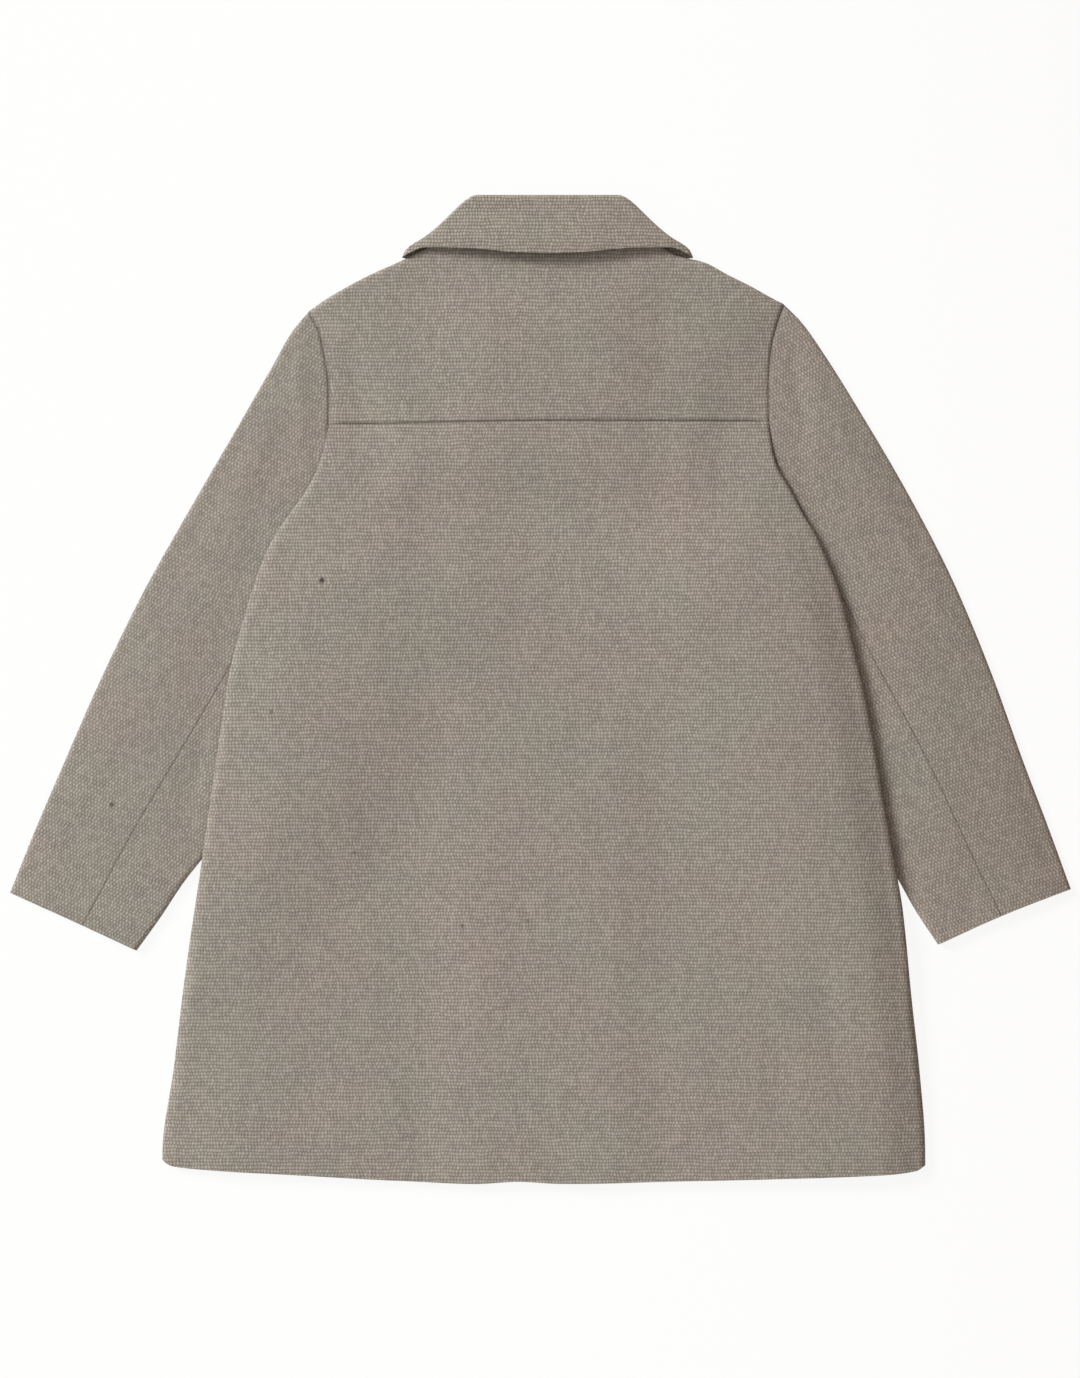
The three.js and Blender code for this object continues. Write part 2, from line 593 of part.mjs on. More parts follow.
function sleevePieces(side) {
  const rows = side === 'left' ? SLEEVE_LEFT : SLEEVE_RIGHT;
  const columns = { top: 9, low: 9, under: 4 };
  const crowding = { top: 1.6, low: 1.3 };
  const alongRows = [0, 0.04, 0.1, 0.17, 0.25, 0.33, 0.41, 0.5, 0.59, 0.68, 0.77, 0.86, 0.94, 1];
  const bowEnd = 0.5;           // the armhole's curve fades out at this part of the sleeve
  const middle = SLEEVE_HEIGHT / 2;
  const section = (part) => {
    const read = (column) => readCurve(rows, 'part', column, part);
    const outer = new THREE.Vector2(read('outerX'), read('outerY'));
    const inner = new THREE.Vector2(read('innerX'), read('innerY'));
    return { outer, inner, width: outer.distanceTo(inner) };
  };
  const place = (part, distance, level) => {
    const { outer, inner, width } = section(part);
    const share = distance / width;
    const spot = outer.clone().lerp(inner, share);
    const armY = lerp(rows[0].outerY, rows[0].innerY, share);
    const chordX = lerp(rows[0].outerX, rows[0].innerX, share);
    const bow = (sleeveEnd(side, armY, level) - chordX) * (1 - smooth(part / bowEnd));
    const hollow = CUFF[side] * Math.sin(Math.PI * share) * smooth((part - CUFF.start) / (1 - CUFF.start));
    return [spot.x + bow, spot.y + hollow];
  };
  const point = (part, distance, level, fold) => {
    const [x, y] = place(part, distance, level);
    const top = sleeveTop(side, x, y, distance) - middle;
    const reach = level > 0 ? top : middle;
    return fold ? [x, y, middle + level * reach] : [x, y, middle + level * (reach - WALL)];
  };
  const build = (name, colour, stationsAt) => {
    const outerGrid = [];
    const innerGrid = [];
    alongRows.forEach((part) => {
      const { width } = section(part);
      const stations = stationsAt(width);
      outerGrid.push(stations.map((s) => point(part, s.outer, s.level, true)));
      innerGrid.push(stations.map((s) => point(part, s.inner, s.level, false)));
    });
    return clothWall(name, colour, outerGrid, innerGrid);
  };
  const flat = (from, to, level, count, crowd = 1) => shares(count).map((share) => {
    const at = lerp(to, from, (1 - share) ** crowd);
    return { outer: at, inner: at, level };
  });
  const turn = (toDistance) => {
    const upper = [...ROLL_STATIONS].reverse();
    const lower = ROLL_STATIONS.slice(1).map(({ bend, rise }) => ({ bend, rise: -rise }));
    return [...upper, ...lower].map(({ bend, rise }) => ({
      outer: toDistance(ROLL * bend),
      inner: toDistance(WALL + (ROLL - WALL) * bend),
      level: rise,
    }));
  };
  const seamShare = SLEEVE_SEAM[side];
  const top = build(`sleeve_top_${side}`, 0x978e83, (width) => [
    ...flat(width * seamShare - SEAM / 2, ROLL, 1, columns.top, crowding.top).slice(0, -1),
    ...turn((d) => d),
    ...flat(width - FORE_SEAM_INSET, ROLL, -1, columns.low, crowding.low).reverse().slice(1),
  ]);
  const under = build(`sleeve_under_${side}`, 0x928a7f, (width) => [
    ...flat(width * seamShare + SEAM / 2, width - ROLL, 1, columns.under).slice(0, -1),
    ...turn((d) => width - d),
    ...flat(width - ROLL, width - FORE_SEAM_INSET + SEAM, -1, 1).slice(1),
  ]);
  return [top, under];
}

// Heights of the collar's four layers, counted from its mid height
const COLLAR_MIDDLE = COLLAR_LAYER + WALL + SEAM / 2;
const FALL_REACH = COLLAR_MIDDLE;
const STAND_REACH = WALL + SEAM / 2;
const FOLD_REACH = STAND_REACH + SEAM / 2;

// Columns round the collar: front leaf, side turn, back leaf, side turn, front leaf
function collarColumns(frontCount, backCount) {
  const columns = [];
  const turn = ROLL_STATIONS;
  shares(frontCount).slice(0, -1).forEach((t) => columns.push({ zone: 'front', hand: -1, t: 1 - t }));
  [...turn].reverse().forEach((s) => columns.push({ zone: 'turn', hand: -1, bend: s.bend, rise: -s.rise }));
  turn.slice(1).forEach((s) => columns.push({ zone: 'turn', hand: -1, ...s }));
  shares(backCount).slice(1, -1).forEach((t) => columns.push({ zone: 'back', t }));
  [...turn].reverse().forEach((s) => columns.push({ zone: 'turn', hand: 1, ...s }));
  turn.slice(1).forEach((s) => columns.push({ zone: 'turn', hand: 1, bend: s.bend, rise: -s.rise }));
  shares(frontCount).slice(1).forEach((t) => columns.push({ zone: 'front', hand: 1, t }));
  return columns;
}

const fallEdge = (x) => readCurve(FALL_EDGE, 'across', 'y', COLLAR_EDGE_HALF - Math.abs(x - COLLAR_CENTRE));

// Side silhouette of the fall, and the plan of its leaves
function fallPlan(column, down, inset) {
  const silhouette = readCurve(FALL_SIDE, 'down', 'half', down);
  const level = lerp(FOLD_LEVEL, COLLAR_TIP_LEVEL, down);
  if (column.zone === 'turn') {
    const edgeX = mirrorX(COLLAR_EDGE_HALF - inset, 1);
    const edgeRise = column.rise > 0 ? (fallEdge(edgeX) - COLLAR_TIP_LEVEL) * down : 0;
    return [mirrorX(silhouette - inset, column.hand), level + edgeRise];
  }
  if (column.zone === 'back') {
    const across = lerp(-1, 1, column.t);
    const x = mirrorX(across * (silhouette - ROLL), 1);
    const edgeX = mirrorX(across * (COLLAR_EDGE_HALF - ROLL), 1);
    return [x, lerp(FOLD_LEVEL, fallEdge(edgeX), down)];
  }
  const foldX = readCurve(FRONT_FOLD, 'part', 'x', column.t) - ROLL * (1 - column.t);
  const pointX = readCurve(FRONT_POINT, 'part', 'x', column.t) - ROLL * (1 - column.t);
  const foldY = readCurve(FRONT_FOLD, 'part', 'y', column.t);
  const pointY = readCurve(FRONT_POINT, 'part', 'y', column.t);
  const bulge = (silhouette - lerp(COLLAR_FOLD_HALF, COLLAR_EDGE_HALF, down)) * (1 - column.t);
  return [mirrorX(lerp(foldX, pointX, down) + bulge, column.hand), lerp(foldY, pointY, down)];
}

function collarFall() {
  const columns = collarColumns(5, 14);
  const flatRows = 6;
  const outer = [];
  const inner = [];
  const length = FOLD_LEVEL - COLLAR_TIP_LEVEL;
  const rows = [
    ...ROLL_STATIONS.map(({ bend, rise }) => ({ bend, rise, down: (ROLL * bend) / length })),
    ...shares(flatRows).slice(1).map((share) => ({ bend: 1, rise: 1, down: lerp(ROLL / length, 1, share) })),
  ];
  rows.forEach(({ bend, rise, down }) => {
    const innerDown = rise < 1 ? (COLLAR_WALL + (ROLL - COLLAR_WALL) * bend) / length : down;
    const outerRow = [];
    const innerRow = [];
    columns.forEach((column) => {
      const face = column.zone === 'front' ? -1 : (column.zone === 'back' ? 1 : column.rise);
      const bendHere = column.zone === 'turn' ? column.bend : 1;
      const insetOuter = ROLL * bendHere;
      const insetInner = COLLAR_WALL + (ROLL - COLLAR_WALL) * bendHere;
      const across = column.zone === 'back' ? column.t : 0;
      const lift = COLLAR_EDGE_LIFT * smooth(down) * Math.sin(Math.PI * across) ** LIFT_SPREAD;
      const reach = FOLD_REACH + (FALL_REACH - FOLD_REACH) * rise;
      const inside = FALL_REACH - COLLAR_WALL;
      const [ox, oy] = fallPlan(column, down, insetOuter);
      const [ix, iy] = fallPlan(column, innerDown, insetInner);
      outerRow.push([ox, oy, COLLAR_MIDDLE + face * reach + lift]);
      innerRow.push([ix, iy, COLLAR_MIDDLE + face * inside + lift]);
    });
    outer.push(outerRow);
    inner.push(innerRow);
  });
  return clothWall('collar_fall', 0x978e83, outer, inner);
}

// Plan of the stand: inside the fall, from the fold down to the neckline
const STAND_INSET = COLLAR_LAYER + 1;
const STAND_CENTRE = 9;           // the stand's front ends stop this far from the collar's centre
function standPlan(column, down, inset) {
  const silhouette = lerp(COLLAR_FOLD_HALF - STAND_INSET, NECK_HALF, down);
  const foldLevel = FOLD_LEVEL - SEAM;
  const neckLevel = NECK_LEVEL + 2 * SEAM;
  if (column.zone === 'turn') {
    return [mirrorX(silhouette - inset, column.hand), lerp(foldLevel, neckLevel, down)];
  }
  if (column.zone === 'back') {
    const across = lerp(-1, 1, column.t);
    const x = mirrorX(across * (silhouette - ROLL), 1);
    const neckX = mirrorX(across * (NECK_HALF - ROLL), 1);
    return [x, lerp(foldLevel, yokeTop(neckX) + 2 * SEAM, down)];
  }
  const start = Math.max(0, 1 - column.t);
  const foldX = readCurve(FRONT_FOLD, 'part', 'x', column.t) - (STAND_INSET + ROLL) * start;
  const foldY = readCurve(FRONT_FOLD, 'part', 'y', column.t);
  const neckX = lerp(NECK_HALF - ROLL, STAND_CENTRE, column.t);
  const neckY = frontNeck(column.hand < 0 ? 'left' : 'right', mirrorX(neckX, column.hand)) + 4 * SEAM;
  return [mirrorX(lerp(foldX, neckX, down), column.hand), lerp(foldY, neckY, down)];
}

function collarStand() {
  const columns = collarColumns(5, 10);
  const flatRows = 3;
  const outer = [];
  const inner = [];
  const length = FOLD_LEVEL - NECK_LEVEL;
  const rows = [
    ...ROLL_STATIONS.map(({ bend, rise }) => ({ bend, rise, down: (ROLL * bend) / length })),
    ...shares(flatRows).slice(1).map((share) => ({ bend: 1, rise: 1, down: lerp(ROLL / length, 1, share) })),
  ];
  rows.forEach(({ bend, rise, down }) => {
    const outerDown = rise < 1 ? (WALL + (ROLL - WALL) * bend) / length : down;
    const outerRow = [];
    const innerRow = [];
    columns.forEach((column) => {
      const face = column.zone === 'front' ? -1 : (column.zone === 'back' ? 1 : column.rise);
      const bendHere = column.zone === 'turn' ? column.bend : 1;
      const [ox, oy] = standPlan(column, outerDown, ROLL * bendHere);
      const [ix, iy] = standPlan(column, down, WALL + (ROLL - WALL) * bendHere);
      const innerReach = SEAM / 2 + WALL * (1 - rise);
      outerRow.push([ox, oy, COLLAR_MIDDLE + face * STAND_REACH]);
      innerRow.push([ix, iy, COLLAR_MIDDLE + face * innerReach]);
    });
    outer.push(outerRow);
    inner.push(innerRow);
  });
  return clothWall('collar_stand', 0x8f867b, outer, inner);
}

const overcoat = new THREE.Group();
overcoat.name = 'overcoat';
overcoat.add(
  front('right'),
  front('left'),
  back(),
  backYoke(),
  ...sleevePieces('left'),
  ...sleevePieces('right'),
  collarFall(),
  collarStand(),
);

export default overcoat;
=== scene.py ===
# %% [markdown]
# # A wool overcoat laid face down
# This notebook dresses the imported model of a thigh-length overcoat. Each cut piece becomes a thin shell
# of cloth on the form of its own solid. The shells could be modelled by hand over the solids, or be
# draped by a simulation. Here the sections of the solids are worked out again on a finer grid, because
# the coat is still, lies flat and keeps its edges exactly where they are measured.

import math

import bpy
import numpy as np
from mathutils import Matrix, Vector


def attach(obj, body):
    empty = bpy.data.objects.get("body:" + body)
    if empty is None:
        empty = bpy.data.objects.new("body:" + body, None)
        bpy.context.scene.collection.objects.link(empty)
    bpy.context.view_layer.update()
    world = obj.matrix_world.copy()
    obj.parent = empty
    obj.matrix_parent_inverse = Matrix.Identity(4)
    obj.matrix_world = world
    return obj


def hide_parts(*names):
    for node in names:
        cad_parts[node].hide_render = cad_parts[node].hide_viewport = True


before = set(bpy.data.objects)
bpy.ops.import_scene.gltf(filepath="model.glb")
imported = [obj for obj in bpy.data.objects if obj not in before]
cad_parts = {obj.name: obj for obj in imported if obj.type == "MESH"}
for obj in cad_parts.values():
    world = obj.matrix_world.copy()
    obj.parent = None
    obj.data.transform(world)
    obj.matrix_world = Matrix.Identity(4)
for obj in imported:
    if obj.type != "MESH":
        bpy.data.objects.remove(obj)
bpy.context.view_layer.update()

# %% [markdown]
# ## Camera
# The coat is seen straight from above, with the collar at the top of the picture. An orthographic
# camera would show no side walls at all; a long lens some metres up keeps the slight spread that a
# real lens gives to the raised middle of the coat.

# %% Camera
CAMERA_HEIGHT = 2.605
CAMERA_LENS = 73.8
SENSOR_SIZE = 36

camera_data = bpy.data.cameras.new("camera")
camera_data.lens = CAMERA_LENS
camera_data.sensor_fit = "VERTICAL"
camera_data.sensor_height = SENSOR_SIZE
camera_data.clip_end = 20
camera = bpy.data.objects.new("camera", camera_data)
camera.location = (0, 0, CAMERA_HEIGHT)
bpy.context.scene.collection.objects.link(camera)
bpy.context.scene.camera = camera
print("camera", CAMERA_HEIGHT, "m up, lens", CAMERA_LENS)

# %% [markdown]
# ## Sizes
# All sizes are in millimetres, with X to the wearer's right, Y to the collar and Z up. The coat's own
# measures come first: the thickness of the cloth, the clearance between two pieces, the width of a
# rounded fold and the levels of the seams.

# %% Sizes
MM = 0.001
WALL = 2.4
SHELL = 1.7
COLLAR_WALL = 2.8
COLLAR_SHELL = 2.2
SEAM = 0.3
LAYER = WALL + SEAM
COLLAR_LAYER = COLLAR_WALL + SEAM
SLEEVE_HEIGHT = 2 * WALL + SEAM
OVER_SLEEVE = SLEEVE_HEIGHT + SEAM

ROLL = 5
ROLL_STEPS = 8
YOKE_LEVEL = 246
SLEEVE_TUCK = 262
ARMHOLE_LOW = 81
TUCK_TOP = 150
HEM_CORNER = -432
CENTRE = 5
LAP = 35
print("a seam is", SEAM, "mm wide and a side fold", ROLL, "mm")

# %% [markdown]
# ## Reading the tables
# An edge of the coat is one smooth curve through the rows of its table. A spline could overshoot
# between two rows; this cubic takes a slope at each row that never passes either neighbour.

# %% Curves and blends


def smooth(t):
    """Eases from 0 to 1 as t goes from 0 to 1."""
    c = np.clip(t, 0, 1)
    return c * c * (3 - 2 * c)


def lerp(a, b, t):
    return a + (b - a) * t


def read_curve(rows, along, column, place):
    """Reads a column of a table at one or many places, with a curve that never overshoots its rows."""
    ordered = sorted(rows, key=lambda row: row[along])
    at = np.array([row[along] for row in ordered], float)
    value = np.array([row[column] for row in ordered], float)
    slope = np.diff(value) / np.diff(at)
    tangent = np.zeros(len(at))
    tangent[0] = slope[0]
    tangent[-1] = slope[-1]
    product = slope[:-1] * slope[1:]
    total = slope[:-1] + slope[1:]
    safe = np.where(total == 0, 1, total)
    tangent[1:-1] = np.where(product <= 0, 0, 2 * product / safe)
    p = np.clip(place, at[0], at[-1])
    k = np.clip(np.searchsorted(at, p) - 1, 0, len(at) - 2)
    span = at[k + 1] - at[k]
    t = (p - at[k]) / span
    t2 = t * t
    t3 = t2 * t
    start = (2 * t3 - 3 * t2 + 1) * value[k] + (t3 - 2 * t2 + t) * span * tangent[k]
    end = (3 * t2 - 2 * t3) * value[k + 1] + (t3 - t2) * span * tangent[k + 1]
    return start + end


print("a quarter of the way, an ease has reached", float(smooth(0.25)))

# %% [markdown]
# ## Outline of the body
# The two sides of a coat that was laid down by hand don't mirror each other, so each side has a
# column of its own. One half and its mirror image would be shorter to write, but would miss the
# true outline. The first table is the edge that shows, the second is the edge out of sight, where a
# sleeve passes under the back, and the third is the upper edge of the yoke.

# %% Body edges
BODY_EDGE = [
    {"y": 354, "left": -214, "right": 224},
    {"y": 346, "left": -211.8, "right": 221.1},
    {"y": 330, "left": -203.6, "right": 215.9},
    {"y": 310, "left": -199.3, "right": 211.9},
    {"y": 280, "left": -194.8, "right": 210.2},
    {"y": 250, "left": -194.8, "right": 210.2},
    {"y": 230, "left": -197.3, "right": 212.4},
    {"y": 207, "left": -203, "right": 217.5},
    {"y": 183, "left": -214.6, "right": 230.3},
    {"y": 163, "left": -228.8, "right": 240.6},
    {"y": 139, "left": -244.9, "right": 255},
    {"y": 121, "left": -253.5, "right": 262.7},
    {"y": 100, "left": -261.5, "right": 271.5},
    {"y": 81, "left": -267.4, "right": 277.7},
    {"y": 51, "left": -276.5, "right": 285.1},
    {"y": 18, "left": -284.7, "right": 293.2},
    {"y": -22, "left": -291.2, "right": 302},
    {"y": -97, "left": -302.2, "right": 315.2},
    {"y": -165, "left": -312.3, "right": 327.7},
    {"y": -195, "left": -317, "right": 333},
    {"y": -268, "left": -328, "right": 340.8},
    {"y": -342, "left": -337.2, "right": 349.2},
    {"y": -415, "left": -347.3, "right": 354.6},
    {"y": -432, "left": -348, "right": 354.8},
]
HIDDEN_EDGE = [
    {"y": 260, "left": -194.6, "right": 210.2},
    {"y": 220, "left": -194.2, "right": 208.5},
    {"y": 180, "left": -191.6, "right": 204.4},
    {"y": 140, "left": -187.5, "right": 199},
    {"y": 81, "left": -179.9, "right": 189.1},
    {"y": 66, "left": -183.9, "right": 193},
    {"y": 45, "left": -190.7, "right": 199.5},
    {"y": 10, "left": -203.8, "right": 212},
    {"y": -40, "left": -229.9, "right": 236.8},
    {"y": -88, "left": -259.9, "right": 265.5},
    {"y": -134, "left": -292.8, "right": 297.5},
    {"y": -178, "left": -328.2, "right": 327.8},
    {"y": -238, "left": -374, "right": 366.6},
    {"y": -460, "left": -545, "right": 525},
]
YOKE_TOP = [
    {"x": -212.6, "y": 348.2},
    {"x": -196.4, "y": 359.3},
    {"x": -177.1, "y": 370.3},
    {"x": -155.9, "y": 381.3},
    {"x": -131.1, "y": 392.4},
    {"x": -104, "y": 406},
    {"x": -81.4, "y": 417.2},
    {"x": -40, "y": 413.6},
    {"x": 6.9, "y": 412.4},
    {"x": 54, "y": 413.6},
    {"x": 95.2, "y": 417.2},
    {"x": 126, "y": 399},
    {"x": 152.3, "y": 392.4},
    {"x": 173.4, "y": 381.3},
    {"x": 195.5, "y": 370.3},
    {"x": 215.7, "y": 359.3},
    {"x": 225, "y": 354.8},
]


def body_edge(side, y):
    return read_curve(BODY_EDGE, "y", side, y)


def hidden_edge(side, y):
    return np.where(y >= SLEEVE_TUCK, body_edge(side, y), read_curve(HIDDEN_EDGE, "y", side, y))


def yoke_top(x):
    return read_curve(YOKE_TOP, "x", "y", x)


def outward(side):
    return -1 if side == "left" else 1


print("body at the hem is", round(float(body_edge("right", -432) - body_edge("left", -432))), "mm wide")

# %% [markdown]
# ## How the layers lie on each other
# The fronts lie on the floor. They pass over the front of the collar and over the covered part of the
# sleeves, and the back lies on all of them. Each cover is a soft plateau: full height over the covered
# ground, then an even slope down beside it. A stiff stack of flat plates would show hard steps.

# %% Covers


def distance_to(corners, x, y):
    """How far places lie past a convex list of corners that runs clockwise, negative inside it."""
    most = np.full(np.broadcast(x, y).shape, -np.inf)
    for k, (ax, ay) in enumerate(corners):
        bx, by = corners[(k + 1) % len(corners)]
        along = math.hypot(bx - ax, by - ay)
        most = np.maximum(most, ((y - ay) * (bx - ax) - (x - ax) * (by - ay)) / along)
    return most


def plateau(distance, margin, ramp):
    """1 over a piece and up to the margin beside it, then down to 0 over the ramp."""
    return smooth((margin + ramp - distance) / ramp)


def fade_up(y, cover):
    """1 low on the coat, 0 above the level where a cover fades away."""
    return smooth((cover["fade_from"] - y) / cover["fade"])


print("10 mm past its margin, a 40 mm cover is at", round(float(plateau(10, 0, 40)), 3))

# %% [markdown]
# ## Collar leaves under the fronts
# The front half of the collar lies between the fronts and the back. For the height of the cloth
# over it, each leaf is taken as a shape of four corners. Its true curved edge would need a search
# for the nearest place, and the soft plateau over it would look the same.

# %% Collar leaves
COLLAR_CENTRE = 7
FRONT_FOLD = [
    {"part": 0, "x": 68, "y": 454.2},
    {"part": 0.35, "x": 52, "y": 393},
    {"part": 0.7, "x": 30, "y": 350},
    {"part": 1, "x": 6.4, "y": 322.5},
]
FRONT_POINT = [
    {"part": 0, "x": 134, "y": 397},
    {"part": 0.5, "x": 110, "y": 330},
    {"part": 1, "x": 79, "y": 270},
]
LEAF_COVER = {"margin": 20, "margin_at_lap": 38, "ramp": 50}
LEAF = [FRONT_FOLD[0], FRONT_FOLD[-1], FRONT_POINT[-1], FRONT_POINT[0]]


def mirror_x(x, hand):
    return COLLAR_CENTRE + hand * x


def leaf_corners(hand):
    corners = [(mirror_x(row["x"], hand), row["y"]) for row in LEAF]
    return corners[::-1] if hand > 0 else corners


COLLAR_GROUND = [
    (mirror_x(hand * LEAF[k]["x"], 1), LEAF[k]["y"])
    for k, hand in ((0, -1), (0, 1), (3, 1), (2, 1), (2, -1), (3, -1))
]
LEAVES = [leaf_corners(-1), leaf_corners(1)]


def over_leaf(x, y, margin):
    distance = np.minimum(*[distance_to(leaf, x, y) for leaf in LEAVES])
    return plateau(distance, margin, LEAF_COVER["ramp"])


print("leaf corners", LEAVES[0])

# %% [markdown]
# ## Heights of the fronts and the back
# The fronts rise over the sleeves, the collar and each other. The back rises over all of them, in
# wider and softer steps, as heavy wool does. Adding up one plateau for each covered piece keeps
# every layer above the one below, which a single painted height map would not promise.

# %% Heights
PLACE_ON_STRIP = 4
SLEEVE_COVER = {"margin": 34, "ramp": 40, "fade_from": 121, "fade": 40}
LAP_COVER = {"beyond": 52, "ramp": 30, "fade_from": 365, "fade": 40}
BACK_OVER_SLEEVE = {"margin": 24, "ramp": 150, "rise": 86}
BACK_OVER_LAP = {"margin": 20, "ramp": 60, "fade_from": 400, "fade": 60}
BACK_OVER_COLLAR = {"margin": 46, "ramp": 70}


def over_sleeve(side, x, y, cover):
    return plateau(outward(side) * (hidden_edge(side, y) - x), cover["margin"], cover["ramp"])


def front_under(side, x, y):
    """Underside of a front, from the floor over the collar leaf, the sleeve and the other front."""
    on_strip = outward(side) * (x - hidden_edge(side, y)) > PLACE_ON_STRIP
    fade = np.where(on_strip, 1, fade_up(y, SLEEVE_COVER))
    sleeve = OVER_SLEEVE * over_sleeve(side, x, y, SLEEVE_COVER) * fade
    lap = np.zeros_like(x + y)
    if side == "left":
        lap_start = CENTRE - LAP - LAP_COVER["beyond"]
        lap = smooth((x - lap_start) / LAP_COVER["ramp"]) * fade_up(y, LAP_COVER)
    leaf_margin = lerp(LEAF_COVER["margin"], LEAF_COVER["margin_at_lap"], lap)
    return sleeve + COLLAR_LAYER * over_leaf(x, y, leaf_margin) + LAYER * lap


def back_under(x, y):
    """Underside of the back, smoother than the layers that it covers."""
    rise = smooth((SLEEVE_TUCK - y) / BACK_OVER_SLEEVE["rise"])
    left = over_sleeve("left", x, y, BACK_OVER_SLEEVE)
    right = over_sleeve("right", x, y, BACK_OVER_SLEEVE)
    sleeve = OVER_SLEEVE * np.where(x < CENTRE, left, right) * rise
    lap_edge = LAP + BACK_OVER_LAP["margin"]
    lap_span = plateau(np.abs(x - CENTRE), lap_edge, BACK_OVER_LAP["ramp"]) * fade_up(y, BACK_OVER_LAP)
    from_collar = distance_to(COLLAR_GROUND, x, y)
    collar = COLLAR_LAYER * plateau(from_collar, BACK_OVER_COLLAR["margin"], BACK_OVER_COLLAR["ramp"])
    return LAYER + sleeve + collar + LAYER * lap_span


print("back at its middle", round(float(back_under(np.array(0.0), np.array(-100.0))), 2), "mm up")

# %% [markdown]
# ## Loft of the back
# The back doesn't lie tight: it stands up a little beside each side fold and falls slowly towards
# the middle. A bump in the material could not throw the soft shadow that this height throws on
# the right sleeve.

# %% Loft
LOFT_SIDE = {
    "left": {"height": 3.4, "inset": 62, "outer_spread": 46, "inner_spread": 180},
    "right": {"height": 6.6, "inset": 40, "outer_spread": 31, "inner_spread": 180},
}
LOFT_MIDDLE = 0.5
LOFT_FROM = 190
LOFT_FADE = 110


def back_loft(x, y):
    """How far the loose back stands up: a low dome with a broad ridge inside each side fold."""
    height = LOFT_MIDDLE
    for side, row in LOFT_SIDE.items():
        inset = outward(side) * (body_edge(side, y) - x)
        spread = np.where(inset < row["inset"], row["outer_spread"], row["inner_spread"])
        height = height + row["height"] * np.exp(-(((inset - row["inset"]) / spread) ** 2))
    return smooth((LOFT_FROM - y) / LOFT_FADE) * height


print("loft beside the right fold", round(float(back_loft(265, -22)), 1), "mm")

# %% [markdown]
# ## Creases
# The heavy wool lies almost flat, with a few soft troughs and ridges left from wear and from the way
# it was laid down. Noise would make an even ripple over the whole coat. These are placed one by one, each
# with its own length, width, direction and depth, mostly along the length of the coat.

# %% Creases
BACK_CREASES = [
    {"x": 68, "y": 118, "half_length": 62, "half_width": 19, "turn": 4, "height": -0.9},
    {"x": 57, "y": -2, "half_length": 48, "half_width": 21, "turn": -9, "height": -0.8},
    {"x": 61, "y": -128, "half_length": 36, "half_width": 14, "turn": 3, "height": -0.7},
    {"x": 173, "y": 44, "half_length": 44, "half_width": 17, "turn": 6, "height": -0.9},
    {"x": 118, "y": 40, "half_length": 70, "half_width": 26, "turn": -5, "height": 0.7},
    {"x": 264, "y": -286, "half_length": 52, "half_width": 11, "turn": 7, "height": -1},
    {"x": 217, "y": -344, "half_length": 44, "half_width": 12, "turn": 4, "height": -0.9},
    {"x": -114, "y": -388, "half_length": 46, "half_width": 12, "turn": -5, "height": -0.8},
    {"x": 14, "y": -424, "half_length": 38, "half_width": 11, "turn": 1, "height": -0.8},
    {"x": -214, "y": -352, "half_length": 60, "half_width": 22, "turn": -7, "height": -0.6},
    {"x": 128, "y": -330, "half_length": 80, "half_width": 27, "turn": 5, "height": 0.6},
    {"x": -60, "y": -250, "half_length": 95, "half_width": 30, "turn": -4, "height": 0.5},
    {"x": -150, "y": -120, "half_length": 110, "half_width": 24, "turn": 8, "height": -0.6},
    {"x": -82, "y": 96, "half_length": 75, "half_width": 26, "turn": -7, "height": 0.5},
    {"x": -160, "y": 250, "half_length": 72, "half_width": 15, "turn": 7, "height": -1.1},
    {"x": -188, "y": 262, "half_length": 58, "half_width": 10, "turn": 5, "height": 0.6},
    {"x": -226, "y": 96, "half_length": 58, "half_width": 13, "turn": 24, "height": -0.7},
    {"x": 166, "y": 232, "half_length": 66, "half_width": 18, "turn": -6, "height": -0.8},
    {"x": 190, "y": 150, "half_length": 55, "half_width": 17, "turn": -24, "height": 0.7},
    {"x": 20, "y": 330, "half_length": 70, "half_width": 22, "turn": 82, "height": 0.5},
    {"x": -96, "y": 338, "half_length": 48, "half_width": 19, "turn": 62, "height": -0.6},
    {"x": 108, "y": 340, "half_length": 52, "half_width": 20, "turn": -58, "height": -0.6},
]
FRONT_CREASES = [
    {"x": -128, "y": 96, "half_length": 88, "half_width": 20, "turn": 6, "height": 0.6},
    {"x": -212, "y": -150, "half_length": 96, "half_width": 24, "turn": -5, "height": 0.7},
    {"x": -96, "y": -310, "half_length": 72, "half_width": 17, "turn": 3, "height": 0.6},
    {"x": 132, "y": 88, "half_length": 74, "half_width": 22, "turn": -8, "height": 0.7},
    {"x": 230, "y": -196, "half_length": 104, "half_width": 21, "turn": 5, "height": 0.6},
    {"x": 116, "y": -352, "half_length": 60, "half_width": 16, "turn": -3, "height": 0.6},
]
